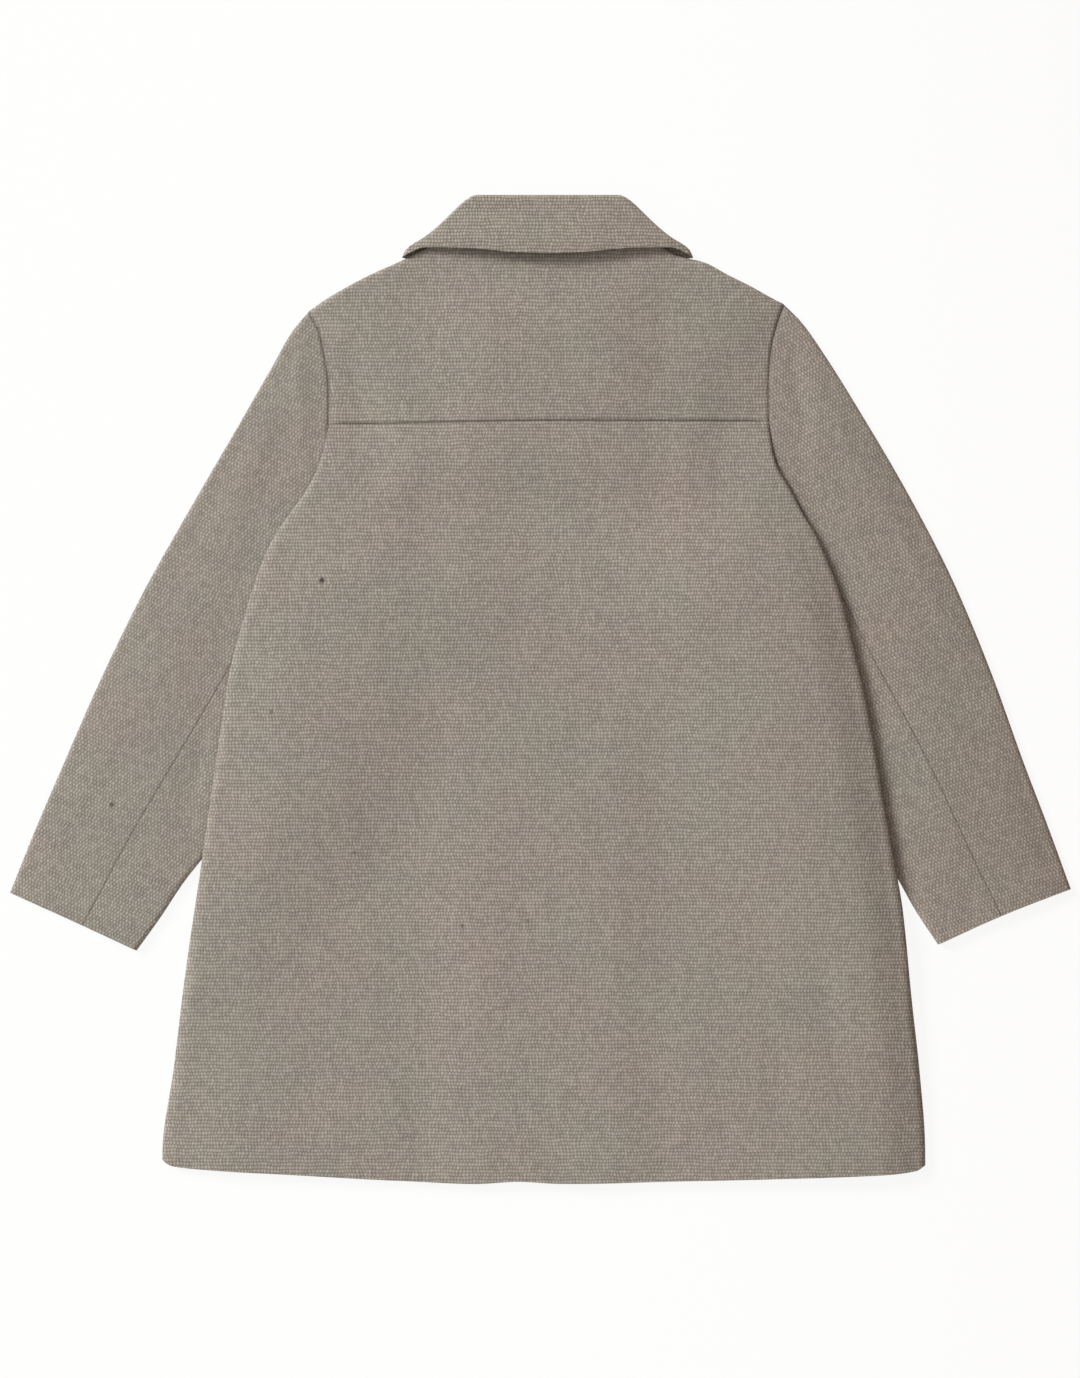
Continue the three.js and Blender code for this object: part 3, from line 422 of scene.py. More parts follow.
SLEEVE_CREASES = {
    "left": [
        {"x": -292, "y": 222, "half_length": 52, "half_width": 14, "turn": -34, "height": -0.9},
        {"x": -318, "y": 128, "half_length": 66, "half_width": 16, "turn": -20, "height": -0.8},
        {"x": -346, "y": 20, "half_length": 70, "half_width": 18, "turn": -26, "height": 0.7},
        {"x": -310, "y": -62, "half_length": 46, "half_width": 13, "turn": -18, "height": -0.8},
        {"x": -402, "y": -96, "half_length": 48, "half_width": 16, "turn": -30, "height": -0.6},
        {"x": -221, "y": 272, "half_length": 52, "half_width": 9, "turn": 2, "height": 1.3},
        {"x": -242, "y": 214, "half_length": 50, "half_width": 14, "turn": -22, "height": -0.9},
    ],
    "right": [
        {"x": 238, "y": 266, "half_length": 56, "half_width": 9, "turn": 3, "height": -0.9},
        {"x": 298, "y": 206, "half_length": 60, "half_width": 16, "turn": 30, "height": 0.8},
        {"x": 336, "y": 96, "half_length": 72, "half_width": 17, "turn": 24, "height": -0.7},
        {"x": 392, "y": -8, "half_length": 58, "half_width": 14, "turn": 22, "height": -1.1},
        {"x": 366, "y": -92, "half_length": 44, "half_width": 18, "turn": 28, "height": 0.7},
        {"x": 392, "y": -190, "half_length": 34, "half_width": 15, "turn": 20, "height": -0.9},
    ],
}


CREASE_EDGE = 16


def creases(rows, x, y):
    """Height that a list of soft troughs and ridges adds at places on the coat."""
    height = np.zeros(np.broadcast(x, y).shape)
    for row in rows:
        turn = math.radians(row["turn"])
        dx = x - row["x"]
        dy = y - row["y"]
        across = dx * math.cos(turn) + dy * math.sin(turn)
        along = dy * math.cos(turn) - dx * math.sin(turn)
        spread = (across / row["half_width"]) ** 2 + (along / row["half_length"]) ** 2
        height = height + row["height"] * np.exp(-spread)
    return height


def back_top(x, y):
    """Outer face of the back and the yoke."""
    inset = np.minimum(x - body_edge("left", y), body_edge("right", y) - x)
    settle = smooth(inset / CREASE_EDGE)
    return back_under(x, y) + back_loft(x, y) + WALL + settle * creases(BACK_CREASES, x, y)


on_sleeves = sum(len(rows) for rows in SLEEVE_CREASES.values())
print(len(BACK_CREASES), "creases on the back,", on_sleeves, "on the sleeves")

# %% [markdown]
# ## From grids to shells
# A piece is a grid of places on its outer face and the same grid on its inner face, closed along its
# borders. A solidify modifier would thicken a single sheet by the same amount everywhere; two grids let
# a seam dip and a folded edge close up.

# %% Stations and seam lines
SEAM_DIP = 0.6
SEAM_REACH = 1.5
ARMHOLE_END = {"left": {"y": 221, "ramp": 26}, "right": {"y": 176, "ramp": 40}}
BESIDE_SEAM = np.array([0, 0.5, 1, 1.6, 2.4, 3.4])
YOKE_SEAM_END = {"inset": 1, "ramp": 14}
YOKE_DRIFT = {"left": -1.7, "right": 0.8, "from": -168, "over": 190, "fade": 26}


def roll_stations(steps=ROLL_STEPS):
    """Stations across a rounded fold: share of its width, and share of its rise."""
    angles = np.linspace(0, math.pi / 2, steps + 1)
    return 1 - np.cos(angles), np.sin(angles)


def stations(start, end, step, dense_start=False, dense_end=False):
    """Places from start to end about one step apart, close together beside a seam."""
    length = abs(end - start)
    close = BESIDE_SEAM
    count = max(2, round(length / step))
    places = np.linspace(0, length, count + 1)
    if dense_start:
        places = np.concatenate([close, places[places > close[-1] + step / 2]])
    if dense_end:
        places = np.concatenate([places[places < length - close[-1] - step / 2], length - close[::-1]])
    return start + places * np.sign(end - start)


def seam_line(distance, reach=SEAM_REACH):
    """1 on a seam, fading to 0 beside it."""
    return np.exp(-((distance / reach) ** 2))


def armhole_line(side, distance, y):
    """1 on the shown stretch of an armhole seam, fading beside it and at its lower end."""
    end = ARMHOLE_END[side]
    return seam_line(distance) * smooth((y - end["y"]) / end["ramp"])


def body_seams(x, y):
    """1 on the yoke seam and on the armhole seams of the body, fading beside them and at their ends."""
    left = x - body_edge("left", y)
    right = body_edge("right", y) - x
    inset = np.minimum(left, right)
    armhole = np.where(left < right, armhole_line("left", left, y), armhole_line("right", right, y))
    shown = smooth((inset - YOKE_SEAM_END["inset"]) / YOKE_SEAM_END["ramp"])
    return np.maximum(armhole, seam_line(y - YOKE_LEVEL) * shown)


def seam_drift(x, y):
    """How far the yoke seam runs off its level: a little low at the left, a little high at the right."""
    share = smooth((x - YOKE_DRIFT["from"]) / YOKE_DRIFT["over"])
    drift = lerp(YOKE_DRIFT["left"], YOKE_DRIFT["right"], share)
    return drift * seam_line(y - YOKE_LEVEL, YOKE_DRIFT["fade"])


print("a seam sinks", SEAM_DIP, "mm and is", 2 * SEAM_REACH, "mm wide")

# %% [markdown]
# ## One shell from two grids
# The faces of the outer grid, the faces of the inner grid and a row of walls along each open
# border make one closed skin. Places that no face uses are left out, so a slit or a missing corner
# needs no cutting. Each corner keeps its place on the flat cloth, for the weave, and how far it
# lies on a seam, for the shade that the material paints along the seam's groove.

# %% Cloth shell
SHARP_ANGLE = math.radians(50)


def cloth_shell(name, outer, inner, flat, seam, keep=None):
    """Closed shell between two grids of places in millimetres; flat holds the cloth's own directions."""
    rows, cols = outer.shape[:2]
    kept = np.ones((rows - 1, cols - 1), bool) if keep is None else keep
    ids = np.arange(rows * cols).reshape(rows, cols)
    corners = np.stack([ids[:-1, :-1], ids[1:, :-1], ids[1:, 1:], ids[:-1, 1:]], -1)
    face = corners[kept]
    count = rows * cols
    walls = []
    padded_keep = np.pad(kept, 1)
    neighbours = [(slice(1, -1), slice(0, -2)), (slice(2, None), slice(1, -1)),
                  (slice(1, -1), slice(2, None)), (slice(0, -2), slice(1, -1))]
    for k, (r, c) in enumerate(neighbours):
        open_side = kept & ~padded_keep[r, c]
        p = corners[open_side][:, k]
        q = corners[open_side][:, (k + 1) % 4]
        walls.append(np.stack([q, p, p + count, q + count], -1))
    faces = np.concatenate([face, face[:, ::-1] + count, *walls])
    places = np.concatenate([outer.reshape(-1, 3), inner.reshape(-1, 3)]) * MM
    a, b, c = (places[face[:, k]] for k in range(3))
    facing = np.cross(b - a, c - a)[:, 2].sum()
    stands = (outer - inner)[kept.nonzero()][:, 2].sum()
    if facing * np.sign(stands) < 0:
        faces = faces[:, ::-1]
    used = np.unique(faces)
    number = np.full(2 * count, -1)
    number[used] = np.arange(len(used))
    mesh = bpy.data.meshes.new(name)
    mesh.from_pydata(places[used].tolist(), [], number[faces].tolist())
    loops = np.zeros(len(mesh.loops), int)
    mesh.loops.foreach_get("vertex_index", loops)
    both = np.concatenate([flat.reshape(-1, 2)] * 2)[used] * MM
    layer = mesh.uv_layers.new(name="cloth")
    layer.data.foreach_set("uv", both[loops].ravel())
    # The seam mask is kept for the material, which paints shade along each seam's groove with it.
    line = mesh.attributes.new("seam", "FLOAT", "POINT")
    shown = np.concatenate([seam.ravel(), seam.ravel()])[used]
    line.data.foreach_set("value", shown.astype(np.float32))
    mesh.polygons.foreach_set("use_smooth", [True] * len(mesh.polygons))
    mesh.set_sharp_from_angle(angle=SHARP_ANGLE)
    mesh.validate()
    piece = bpy.data.objects.new(name, mesh)
    bpy.context.scene.collection.objects.link(piece)
    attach(piece, "root")
    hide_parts(name.removeprefix("cloth_"))
    print(name, len(faces), "faces")
    return piece


def grid(*columns):
    """Stacks three or two arrays of one shape into places."""
    shape = np.broadcast(*columns).shape
    return np.stack([np.broadcast_to(c, shape) for c in columns], -1).astype(float)


print("edges sharper than", round(math.degrees(SHARP_ANGLE)), "degrees stay sharp")

# %% [markdown]
# ## Back
# The back reaches from the yoke seam to the hem. Its side edges roll over and meet the edges of the
# fronts half way down, so the side of the coat reads as one fold. The hem hangs a little lower in the
# middle.

# %% Back
HEM_DROP = [
    {"x": -349, "drop": 0},
    {"x": -344, "drop": 4.5},
    {"x": -337, "drop": 7.4},
    {"x": -297, "drop": 11},
    {"x": -231, "drop": 14.7},
    {"x": -134, "drop": 20.2},
    {"x": -60, "drop": 23},
    {"x": -20, "drop": 21},
    {"x": 20, "drop": 23},
    {"x": 120, "drop": 21},
    {"x": 216, "drop": 18.4},
    {"x": 312, "drop": 14.7},
    {"x": 345, "drop": 11.5},
    {"x": 355, "drop": 6},
]
GRID = 4.5
SIDE_ROLL = {"left": 13, "right": 9}
SOFT_ROLL_FROM = 205
SOFT_ROLL_FADE = 70
FOLD_SPLIT = 200
BACK_COLUMNS = 145
HEM_BEND = 1.5


def hem_share(y):
    return smooth((ARMHOLE_LOW - y) / (ARMHOLE_LOW - HEM_CORNER)) ** HEM_BEND


def with_hem(x, y):
    return y - read_curve(HEM_DROP, "x", "drop", x) * hem_share(y)


def soft_roll(side, y):
    """Width of the rounded top half of the side fold, which is softer below the armhole."""
    return lerp(ROLL, SIDE_ROLL[side], smooth((SOFT_ROLL_FROM - y) / SOFT_ROLL_FADE))


def side_fold(side, y):
    """Top and floor of the rolled side of the body, and half the height between them."""
    x = body_edge(side, y)
    inner = x - outward(side) * ROLL
    top = back_top(x - outward(side) * soft_roll(side, y), y)
    under_fold = front_under(side, inner, np.minimum(y, TUCK_TOP))
    floor = np.where(y > FOLD_SPLIT, OVER_SLEEVE, under_fold)
    return top, floor, np.maximum(0, (top - floor) / 2)


def make_back():
    y = stations(YOKE_LEVEL - SEAM / 2, HEM_CORNER, GRID, dense_start=True)[:, None]
    bend, rise = roll_stations()

    def lip(side, bend, rise):
        top, _, half = side_fold(side, y)
        turn = np.clip(half / SHELL, 0, 1)
        inward = -outward(side)
        x = body_edge(side, y)
        width = soft_roll(side, y)
        outer_x = x + inward * width * bend
        inner_x = lerp(outer_x, x + inward * (SHELL + (width - SHELL) * bend), turn)
        reach = np.maximum(0, half - SEAM / 2)
        outer_z = top - reach * (1 - rise)
        inner_z = top - SHELL + (SHELL - reach) * (1 - rise) * turn
        return outer_x, outer_z, inner_x, inner_z

    left = lip("left", bend, rise)
    right = lip("right", bend[::-1], rise[::-1])
    share = np.linspace(0, 1, BACK_COLUMNS + 1)[1:-1]
    start_x = body_edge("left", y) + soft_roll("left", y)
    middle_x = lerp(start_x, body_edge("right", y) - soft_roll("right", y), share)
    middle_z = back_top(middle_x, y)
    middle = (middle_x, middle_z, middle_x, middle_z - SHELL)
    outer_x, outer_z, inner_x, inner_z = (np.concatenate(part, 1) for part in zip(left, middle, right))
    seam = body_seams(outer_x, y)
    outer_y = with_hem(outer_x, y) + seam_drift(outer_x, y)
    inner_y = with_hem(inner_x, y) + seam_drift(inner_x, y)
    outer = grid(outer_x, outer_y, outer_z - SEAM_DIP * seam)
    inner = grid(inner_x, inner_y, inner_z - SEAM_DIP * seam)
    flat = grid(outer_x, outer_y)
    return cloth_shell("cloth_back", outer, inner, flat, seam)


back = make_back()

# %% [markdown]
# ## Yoke
# The yoke joins the back to the shoulders. Its upper edge rolls over at the shoulder line and stays
# flat under the collar. It could be one shell with the back and a line drawn on it. As a shell of its
# own it follows its own solid, and both borders of the seam are real.

# %% Yoke
NECK_LEVEL = 417.2
NECK_HALF = 88.3
YOKE_STEP = 4
YOKE_ROWS = 34
YOKE_FOOT = 5
NECK_TURN = 12


def make_yoke():
    shoulders = YOKE_TOP[-1]["x"] - YOKE_TOP[0]["x"]
    share = stations(0, shoulders, YOKE_STEP, dense_start=True, dense_end=True) / shoulders
    top_x = lerp(YOKE_TOP[0]["x"], YOKE_TOP[-1]["x"], share)
    bend, rise = roll_stations()
    last = YOKE_LEVEL + SEAM / 2
    top_y = yoke_top(top_x)
    rows = [(b, r, top_y - ROLL * b) for b, r in zip(bend, rise)]
    down = 1 - stations(0, 1, 1 / YOKE_ROWS)[::-1]
    rows += [(1, 1, lerp(top_y - ROLL, last + YOKE_FOOT, part)) for part in down[1:-1]]
    rows += [(1, 1, np.full_like(top_x, last + gap)) for gap in BESIDE_SEAM[::-1]]

    def across_at(y):
        left = body_edge("left", np.minimum(y, YOKE_TOP[0]["y"]))
        right = body_edge("right", np.minimum(y, YOKE_TOP[-1]["y"]))
        return lerp(left, right, share)

    outer, inner, seams = [], [], []
    for b, r, y in rows:
        x = across_at(y)
        top = back_top(x, y)
        turn = smooth((np.abs(top_x - COLLAR_CENTRE) - NECK_HALF) / NECK_TURN) if r < 1 else 0
        reach = (top - back_under(x, y) + LAYER) / 2 - SEAM / 2
        inner_y = y - turn * SHELL * (1 - b)
        seam = body_seams(x, y)
        outer.append(grid(x, y + seam_drift(x, y), top - turn * reach * (1 - r) - SEAM_DIP * seam))
        inner_z = top - SHELL + turn * (SHELL - reach) * (1 - r) - SEAM_DIP * seam
        inner_x = across_at(inner_y)
        inner.append(grid(inner_x, inner_y + seam_drift(inner_x, inner_y), inner_z))
        seams.append(seam)
    outer = np.array(outer)
    return cloth_shell("cloth_back_yoke", outer, np.array(inner), outer[..., :2], np.array(seams))


yoke = make_yoke()

# %% [markdown]
# ## Fronts
# The fronts lie underneath, lapped over each other along the middle. Below the underarm each has a
# strip of cloth that passes over the sleeve to the side fold. They hardly show and could be flat
# sheets, but the back and the side folds rest on them, so they are built in full.

# %% Front edges
FRONT_NECK = [
    {"x": -81.4, "y": 417.2},
    {"x": -66, "y": 357},
    {"x": -33, "y": 316},
    {"x": 5, "y": 301},
    {"x": 45, "y": 316},
    {"x": 79, "y": 357},
    {"x": 95.2, "y": 417.2},
]
SIDE_STRIP = 87.5
FRONT_CREASE_FROM = 300
FRONT_CREASE_FADE = 60


def front_top_edge(x):
    neck = read_curve(FRONT_NECK, "x", "y", x)
    return np.where((x > FRONT_NECK[0]["x"]) & (x < FRONT_NECK[-1]["x"]), neck, yoke_top(x))


def shoulder_end(side):
    return YOKE_TOP[0] if side == "left" else YOKE_TOP[-1]


def front_end(side):
    return CENTRE - outward(side) * LAP


def front_start(side, y):
    """Where the flat part of a front starts: at its armhole, and below that in line with its side."""
    out = outward(side)
    armhole = hidden_edge(side, np.minimum(y, shoulder_end(side)["y"])) - out * SEAM / 2
    return np.where(y < ARMHOLE_LOW, body_edge(side, y) - out * SIDE_STRIP, armhole)


def front_under_soft(side, x, y):
    """Underside of a front with its creases, which only lift it off the floor."""
    lift = np.maximum(0, creases(FRONT_CREASES, x, y))
    return front_under(side, x, y) + lift * smooth((FRONT_CREASE_FROM - y) / FRONT_CREASE_FADE)


print("the fronts lap", 2 * LAP, "mm")

# %% [markdown]
# ## Two fronts
# Each front is one grid from its side fold to its middle edge. The strip beside the armhole starts
# lower down, so the grid has a slit where the two part. Two separate grids would leave a seam that
# the real front doesn't have.

# %% Fronts
FRONT_COLUMNS = 62
FRONT_SPREAD = 0.85
FRONT_ROWS = 46
FRONT_ROW_SPREAD = 1.15
STRIP_COLUMNS = 20
SHOULDER_TURN = 92
SLIT = 8


def make_front(side):
    out = outward(side)
    bend, rise = roll_stations()
    side_share = np.linspace(0, 1, STRIP_COLUMNS + 1)[1:]
    spread = np.linspace(0, 1, FRONT_COLUMNS + 1) ** FRONT_SPREAD
    outer_rows, inner_rows = [], []

    def side_part(y):
        x = body_edge(side, y)
        _, floor, half = side_fold(side, y)
        reach = half - SEAM / 2
        under_x = x - out * ROLL * bend
        over_x = x - out * (SHELL + (ROLL - SHELL) * bend)
        under_z = floor + reach * (1 - rise)
        over_z = floor + SHELL + (reach - SHELL) * (1 - rise)
        strip_x = lerp(x - out * ROLL, front_start(side, y) + out * SLIT, side_share)
        strip_z = front_under_soft(side, strip_x, y)
        under = grid(np.append(under_x, strip_x), y, np.append(under_z, strip_z))
        over = grid(np.append(over_x, strip_x), y, np.append(over_z, strip_z + SHELL))
        return under, over

    def add(y_side, flat_x, flat_y, flat_under, top_x, top_y, top_z):
        under, over = side_part(y_side)
        under = np.concatenate([under, grid(flat_x, flat_y, flat_under)])
        over = np.concatenate([over, grid(top_x, top_y, top_z)])
        for row in (under, over):
            row[:, 1] = with_hem(row[:, 0], row[:, 1])
        outer_rows.append(under)
        inner_rows.append(over)

    def top_row(inset, b, r, part):
        edge_x = lerp(shoulder_end(side)["x"], front_end(side), spread)
        y = lerp(front_top_edge(edge_x) - inset, TUCK_TOP, part)
        x = lerp(front_start(side, y), front_end(side), spread)
        under = front_under_soft(side, x, y)
        turn = np.where(out * (edge_x - COLLAR_CENTRE) > SHOULDER_TURN, 1, 0) if r < 1 else 0
        reach = turn * ((back_top(x, y) - under) / 2 - SEAM / 2)
        inner_y = y - turn * SHELL * (1 - b)
        inner_x = lerp(front_start(side, inner_y), front_end(side), spread)
        inner_z = under + SHELL + turn * (reach - SHELL) * (1 - r)
        add(TUCK_TOP, x, y, under + reach * (1 - r), inner_x, inner_y, inner_z)

    for b, r in zip(bend, rise):
        top_row(SEAM + ROLL * b, b, r, 0)
    parts = np.linspace(0, 1, FRONT_ROWS + 1)[1:] ** FRONT_ROW_SPREAD
    for part in parts:
        top_row(SEAM + ROLL, 1, 1, part)
    first_side_row = len(outer_rows) - 1
    beside_sleeve = stations(TUCK_TOP, ARMHOLE_LOW, GRID)[1:]
    below_sleeve = stations(ARMHOLE_LOW, HEM_CORNER, GRID)[1:]
    levels = np.concatenate([beside_sleeve, below_sleeve])
    underarm_row = first_side_row + int((levels >= ARMHOLE_LOW).sum())
    for y in levels:
        x = lerp(front_start(side, y), front_end(side), spread)
        under = front_under_soft(side, x, y)
        add(y, x, y, under, x, y, under + SHELL)
    outer = np.array(outer_rows)
    inner = np.array(inner_rows)
    rows, cols = outer.shape[:2]
    slit_column = ROLL_STEPS + len(side_share)
    i, j = np.meshgrid(np.arange(rows - 1), np.arange(cols - 1), indexing="ij")
    keep = np.where(j < slit_column, i >= first_side_row, True)
    keep = np.where(j == slit_column, i >= underarm_row, keep)
    seam = np.zeros((rows, cols))
    return cloth_shell(f"cloth_front_{side}", outer, inner, outer[..., :2], seam, keep.astype(bool))


front_left = make_front("left")
front_right = make_front("right")

# %% [markdown]
# ## Sleeves
# Each sleeve is a flattened tube of two cut pieces. Its armhole end passes under the body, and the
# cloth's rows turn with the arm, so its grain is laid along the sleeve. One grain laid straight over
# the whole coat would be simpler, and would look like a print.

# %% Sleeve shape
SLEEVE_LEFT = [
    {"part": 0, "outerX": -212.6, "outerY": 348.2, "innerX": -179.9, "innerY": 81.4},
    {"part": 0.04, "outerX": -228.4, "outerY": 329.1, "innerX": -183.9, "innerY": 66.9},
    {"part": 0.1, "outerX": -246.2, "outerY": 298, "innerX": -190.7, "innerY": 45.3},
    {"part": 0.2, "outerX": -275.9, "outerY": 246.1, "innerX": -203.8, "innerY": 10},
    {"part": 0.35, "outerX": -321.2, "outerY": 168.1, "innerX": -229.9, "innerY": -40.2},
    {"part": 0.5, "outerX": -365.5, "outerY": 89.2, "innerX": -259.9, "innerY": -88.1},
    {"part": 0.65, "outerX": -405, "outerY": 8.3, "innerX": -292.8, "innerY": -134.1},
    {"part": 0.8, "outerX": -441.2, "outerY": -74.2, "innerX": -328.2, "innerY": -178.2},
    {"part": 0.9, "outerX": -465.3, "outerY": -130.4, "innerX": -349, "innerY": -209.6},
    {"part": 1, "outerX": -488.2, "outerY": -187.4, "innerX": -371.4, "innerY": -240.8},
]
SLEEVE_RIGHT = [
    {"part": 0, "outerX": 225, "outerY": 354.8, "innerX": 189.1, "innerY": 81.4},
    {"part": 0.04, "outerX": 241.8, "outerY": 337.7, "innerX": 193, "innerY": 67.4},
    {"part": 0.1, "outerX": 262.6, "outerY": 308.2, "innerX": 199.5, "innerY": 46.5},
    {"part": 0.2, "outerX": 294.3, "outerY": 257.2, "innerX": 212, "innerY": 12.3},
    {"part": 0.35, "outerX": 339.5, "outerY": 179.4, "innerX": 236.8, "innerY": -36.2},
    {"part": 0.5, "outerX": 380.6, "outerY": 99.3, "innerX": 265.5, "innerY": -82.7},
    {"part": 0.65, "outerX": 415.2, "outerY": 16.3, "innerX": 297.5, "innerY": -127},
    {"part": 0.8, "outerX": 445.8, "outerY": -68.4, "innerX": 327.8, "innerY": -172.2},
    {"part": 0.9, "outerX": 467.8, "outerY": -126.2, "innerX": 346.1, "innerY": -204.4},
    {"part": 1, "outerX": 489, "outerY": -184.2, "innerX": 366.6, "innerY": -235.4},
]
SLEEVE_CROWN = {"left": 1.0, "right": 1.8}
SLEEVE_SINK = {"left": 0.0, "right": 0.6}
SLEEVE_TOP = {"body_from": 4, "body_over": 56, "outer_over": 34}
SLEEVE_SINK_RANGE = {"body_from": 2, "body_over": 24, "level": 200, "fade": 60}
SLEEVE_PASSES_UNDER = {"level": 218, "fade": 50}
ARMHOLE_GAP = 0.12
GRAIN_TURN = {"left": math.radians(65), "right": math.radians(-67)}
GRAIN_BEND = {"left": 0, "right": 0.00025}
GRAIN_CENTRE = 300


def sleeve_top_height(side, x, y, from_outer):
    """Height of a sleeve's upper face: a little crowned, and a little sunk beside the body."""
    clear = outward(side) * (x - body_edge(side, y))
    inside = smooth(from_outer / SLEEVE_TOP["outer_over"])
    crown = SLEEVE_CROWN[side] * smooth((clear - SLEEVE_TOP["body_from"]) / SLEEVE_TOP["body_over"])
    near_body = 1 - smooth((clear - SLEEVE_SINK_RANGE["body_from"]) / SLEEVE_SINK_RANGE["body_over"])
    low = smooth((SLEEVE_SINK_RANGE["level"] - y) / SLEEVE_SINK_RANGE["fade"])
    return SLEEVE_HEIGHT + (crown - SLEEVE_SINK[side] * near_body * low) * inside


def sleeve_end(side, y, level):
    under = smooth((SLEEVE_PASSES_UNDER["level"] - y) / SLEEVE_PASSES_UNDER["fade"])
    tuck = np.where(level > 0, under, 1)
    return lerp(body_edge(side, y), hidden_edge(side, y), tuck) + outward(side) * ARMHOLE_GAP


def sleeve_grain(side, x, y):
    """The sleeve's own directions: across it and along it."""
    turn = GRAIN_TURN[side]
    along = x * math.cos(turn) + y * math.sin(turn)
    across = x * math.sin(turn) - y * math.cos(turn)
    return across, along + GRAIN_BEND[side] * along * (across + GRAIN_CENTRE)


arm = SLEEVE_LEFT[-1]
cuff = math.hypot(arm["outerX"] - arm["innerX"], arm["outerY"] - arm["innerY"])
print("left cuff", round(cuff), "mm wide")

# %% [markdown]
# ## Two pieces round each arm
# A section across the sleeve is worked out at each part of its length: the upper face, the fold
# and the lower face. The top piece takes the outer fold and the under piece the inner one. A plain
# tube would have no back seam and no seam under the arm.

# %% Sleeves
SLEEVE_SEAM = {"left": 0.575, "right": 0.525}
FORE_SEAM_INSET = 24
CUFF_HOLLOW = {"left": 0.4, "right": 2.2}
CUFF_START = 0.8
# Share of the full seam dip and of the painted seam shade that the sleeve seams take.
SLEEVE_SEAM_SHARE = 0.4
SLEEVE_SEAM_REACH = 0.9
SLEEVE_FOLDS = {"edge": 18, "body_from": 2, "body_over": 14}
BOW_PART = 0.5
BESIDE_ARMHOLE = [0, 0.0012, 0.0026, 0.0042, 0.0064]
BESIDE_SLEEVE_SEAM = np.array([0, 0.6, 1.3, 2.2, 3.4])
NEXT_TO_SEAM = 7
SLEEVE_HEAD = 0.12
SLEEVE_ROWS = {"head": 20, "arm": 87}
TOP_COLUMNS = {"upper": 34, "lower": 44}
UNDER_COLUMNS = {"upper": 26, "lower": 5}


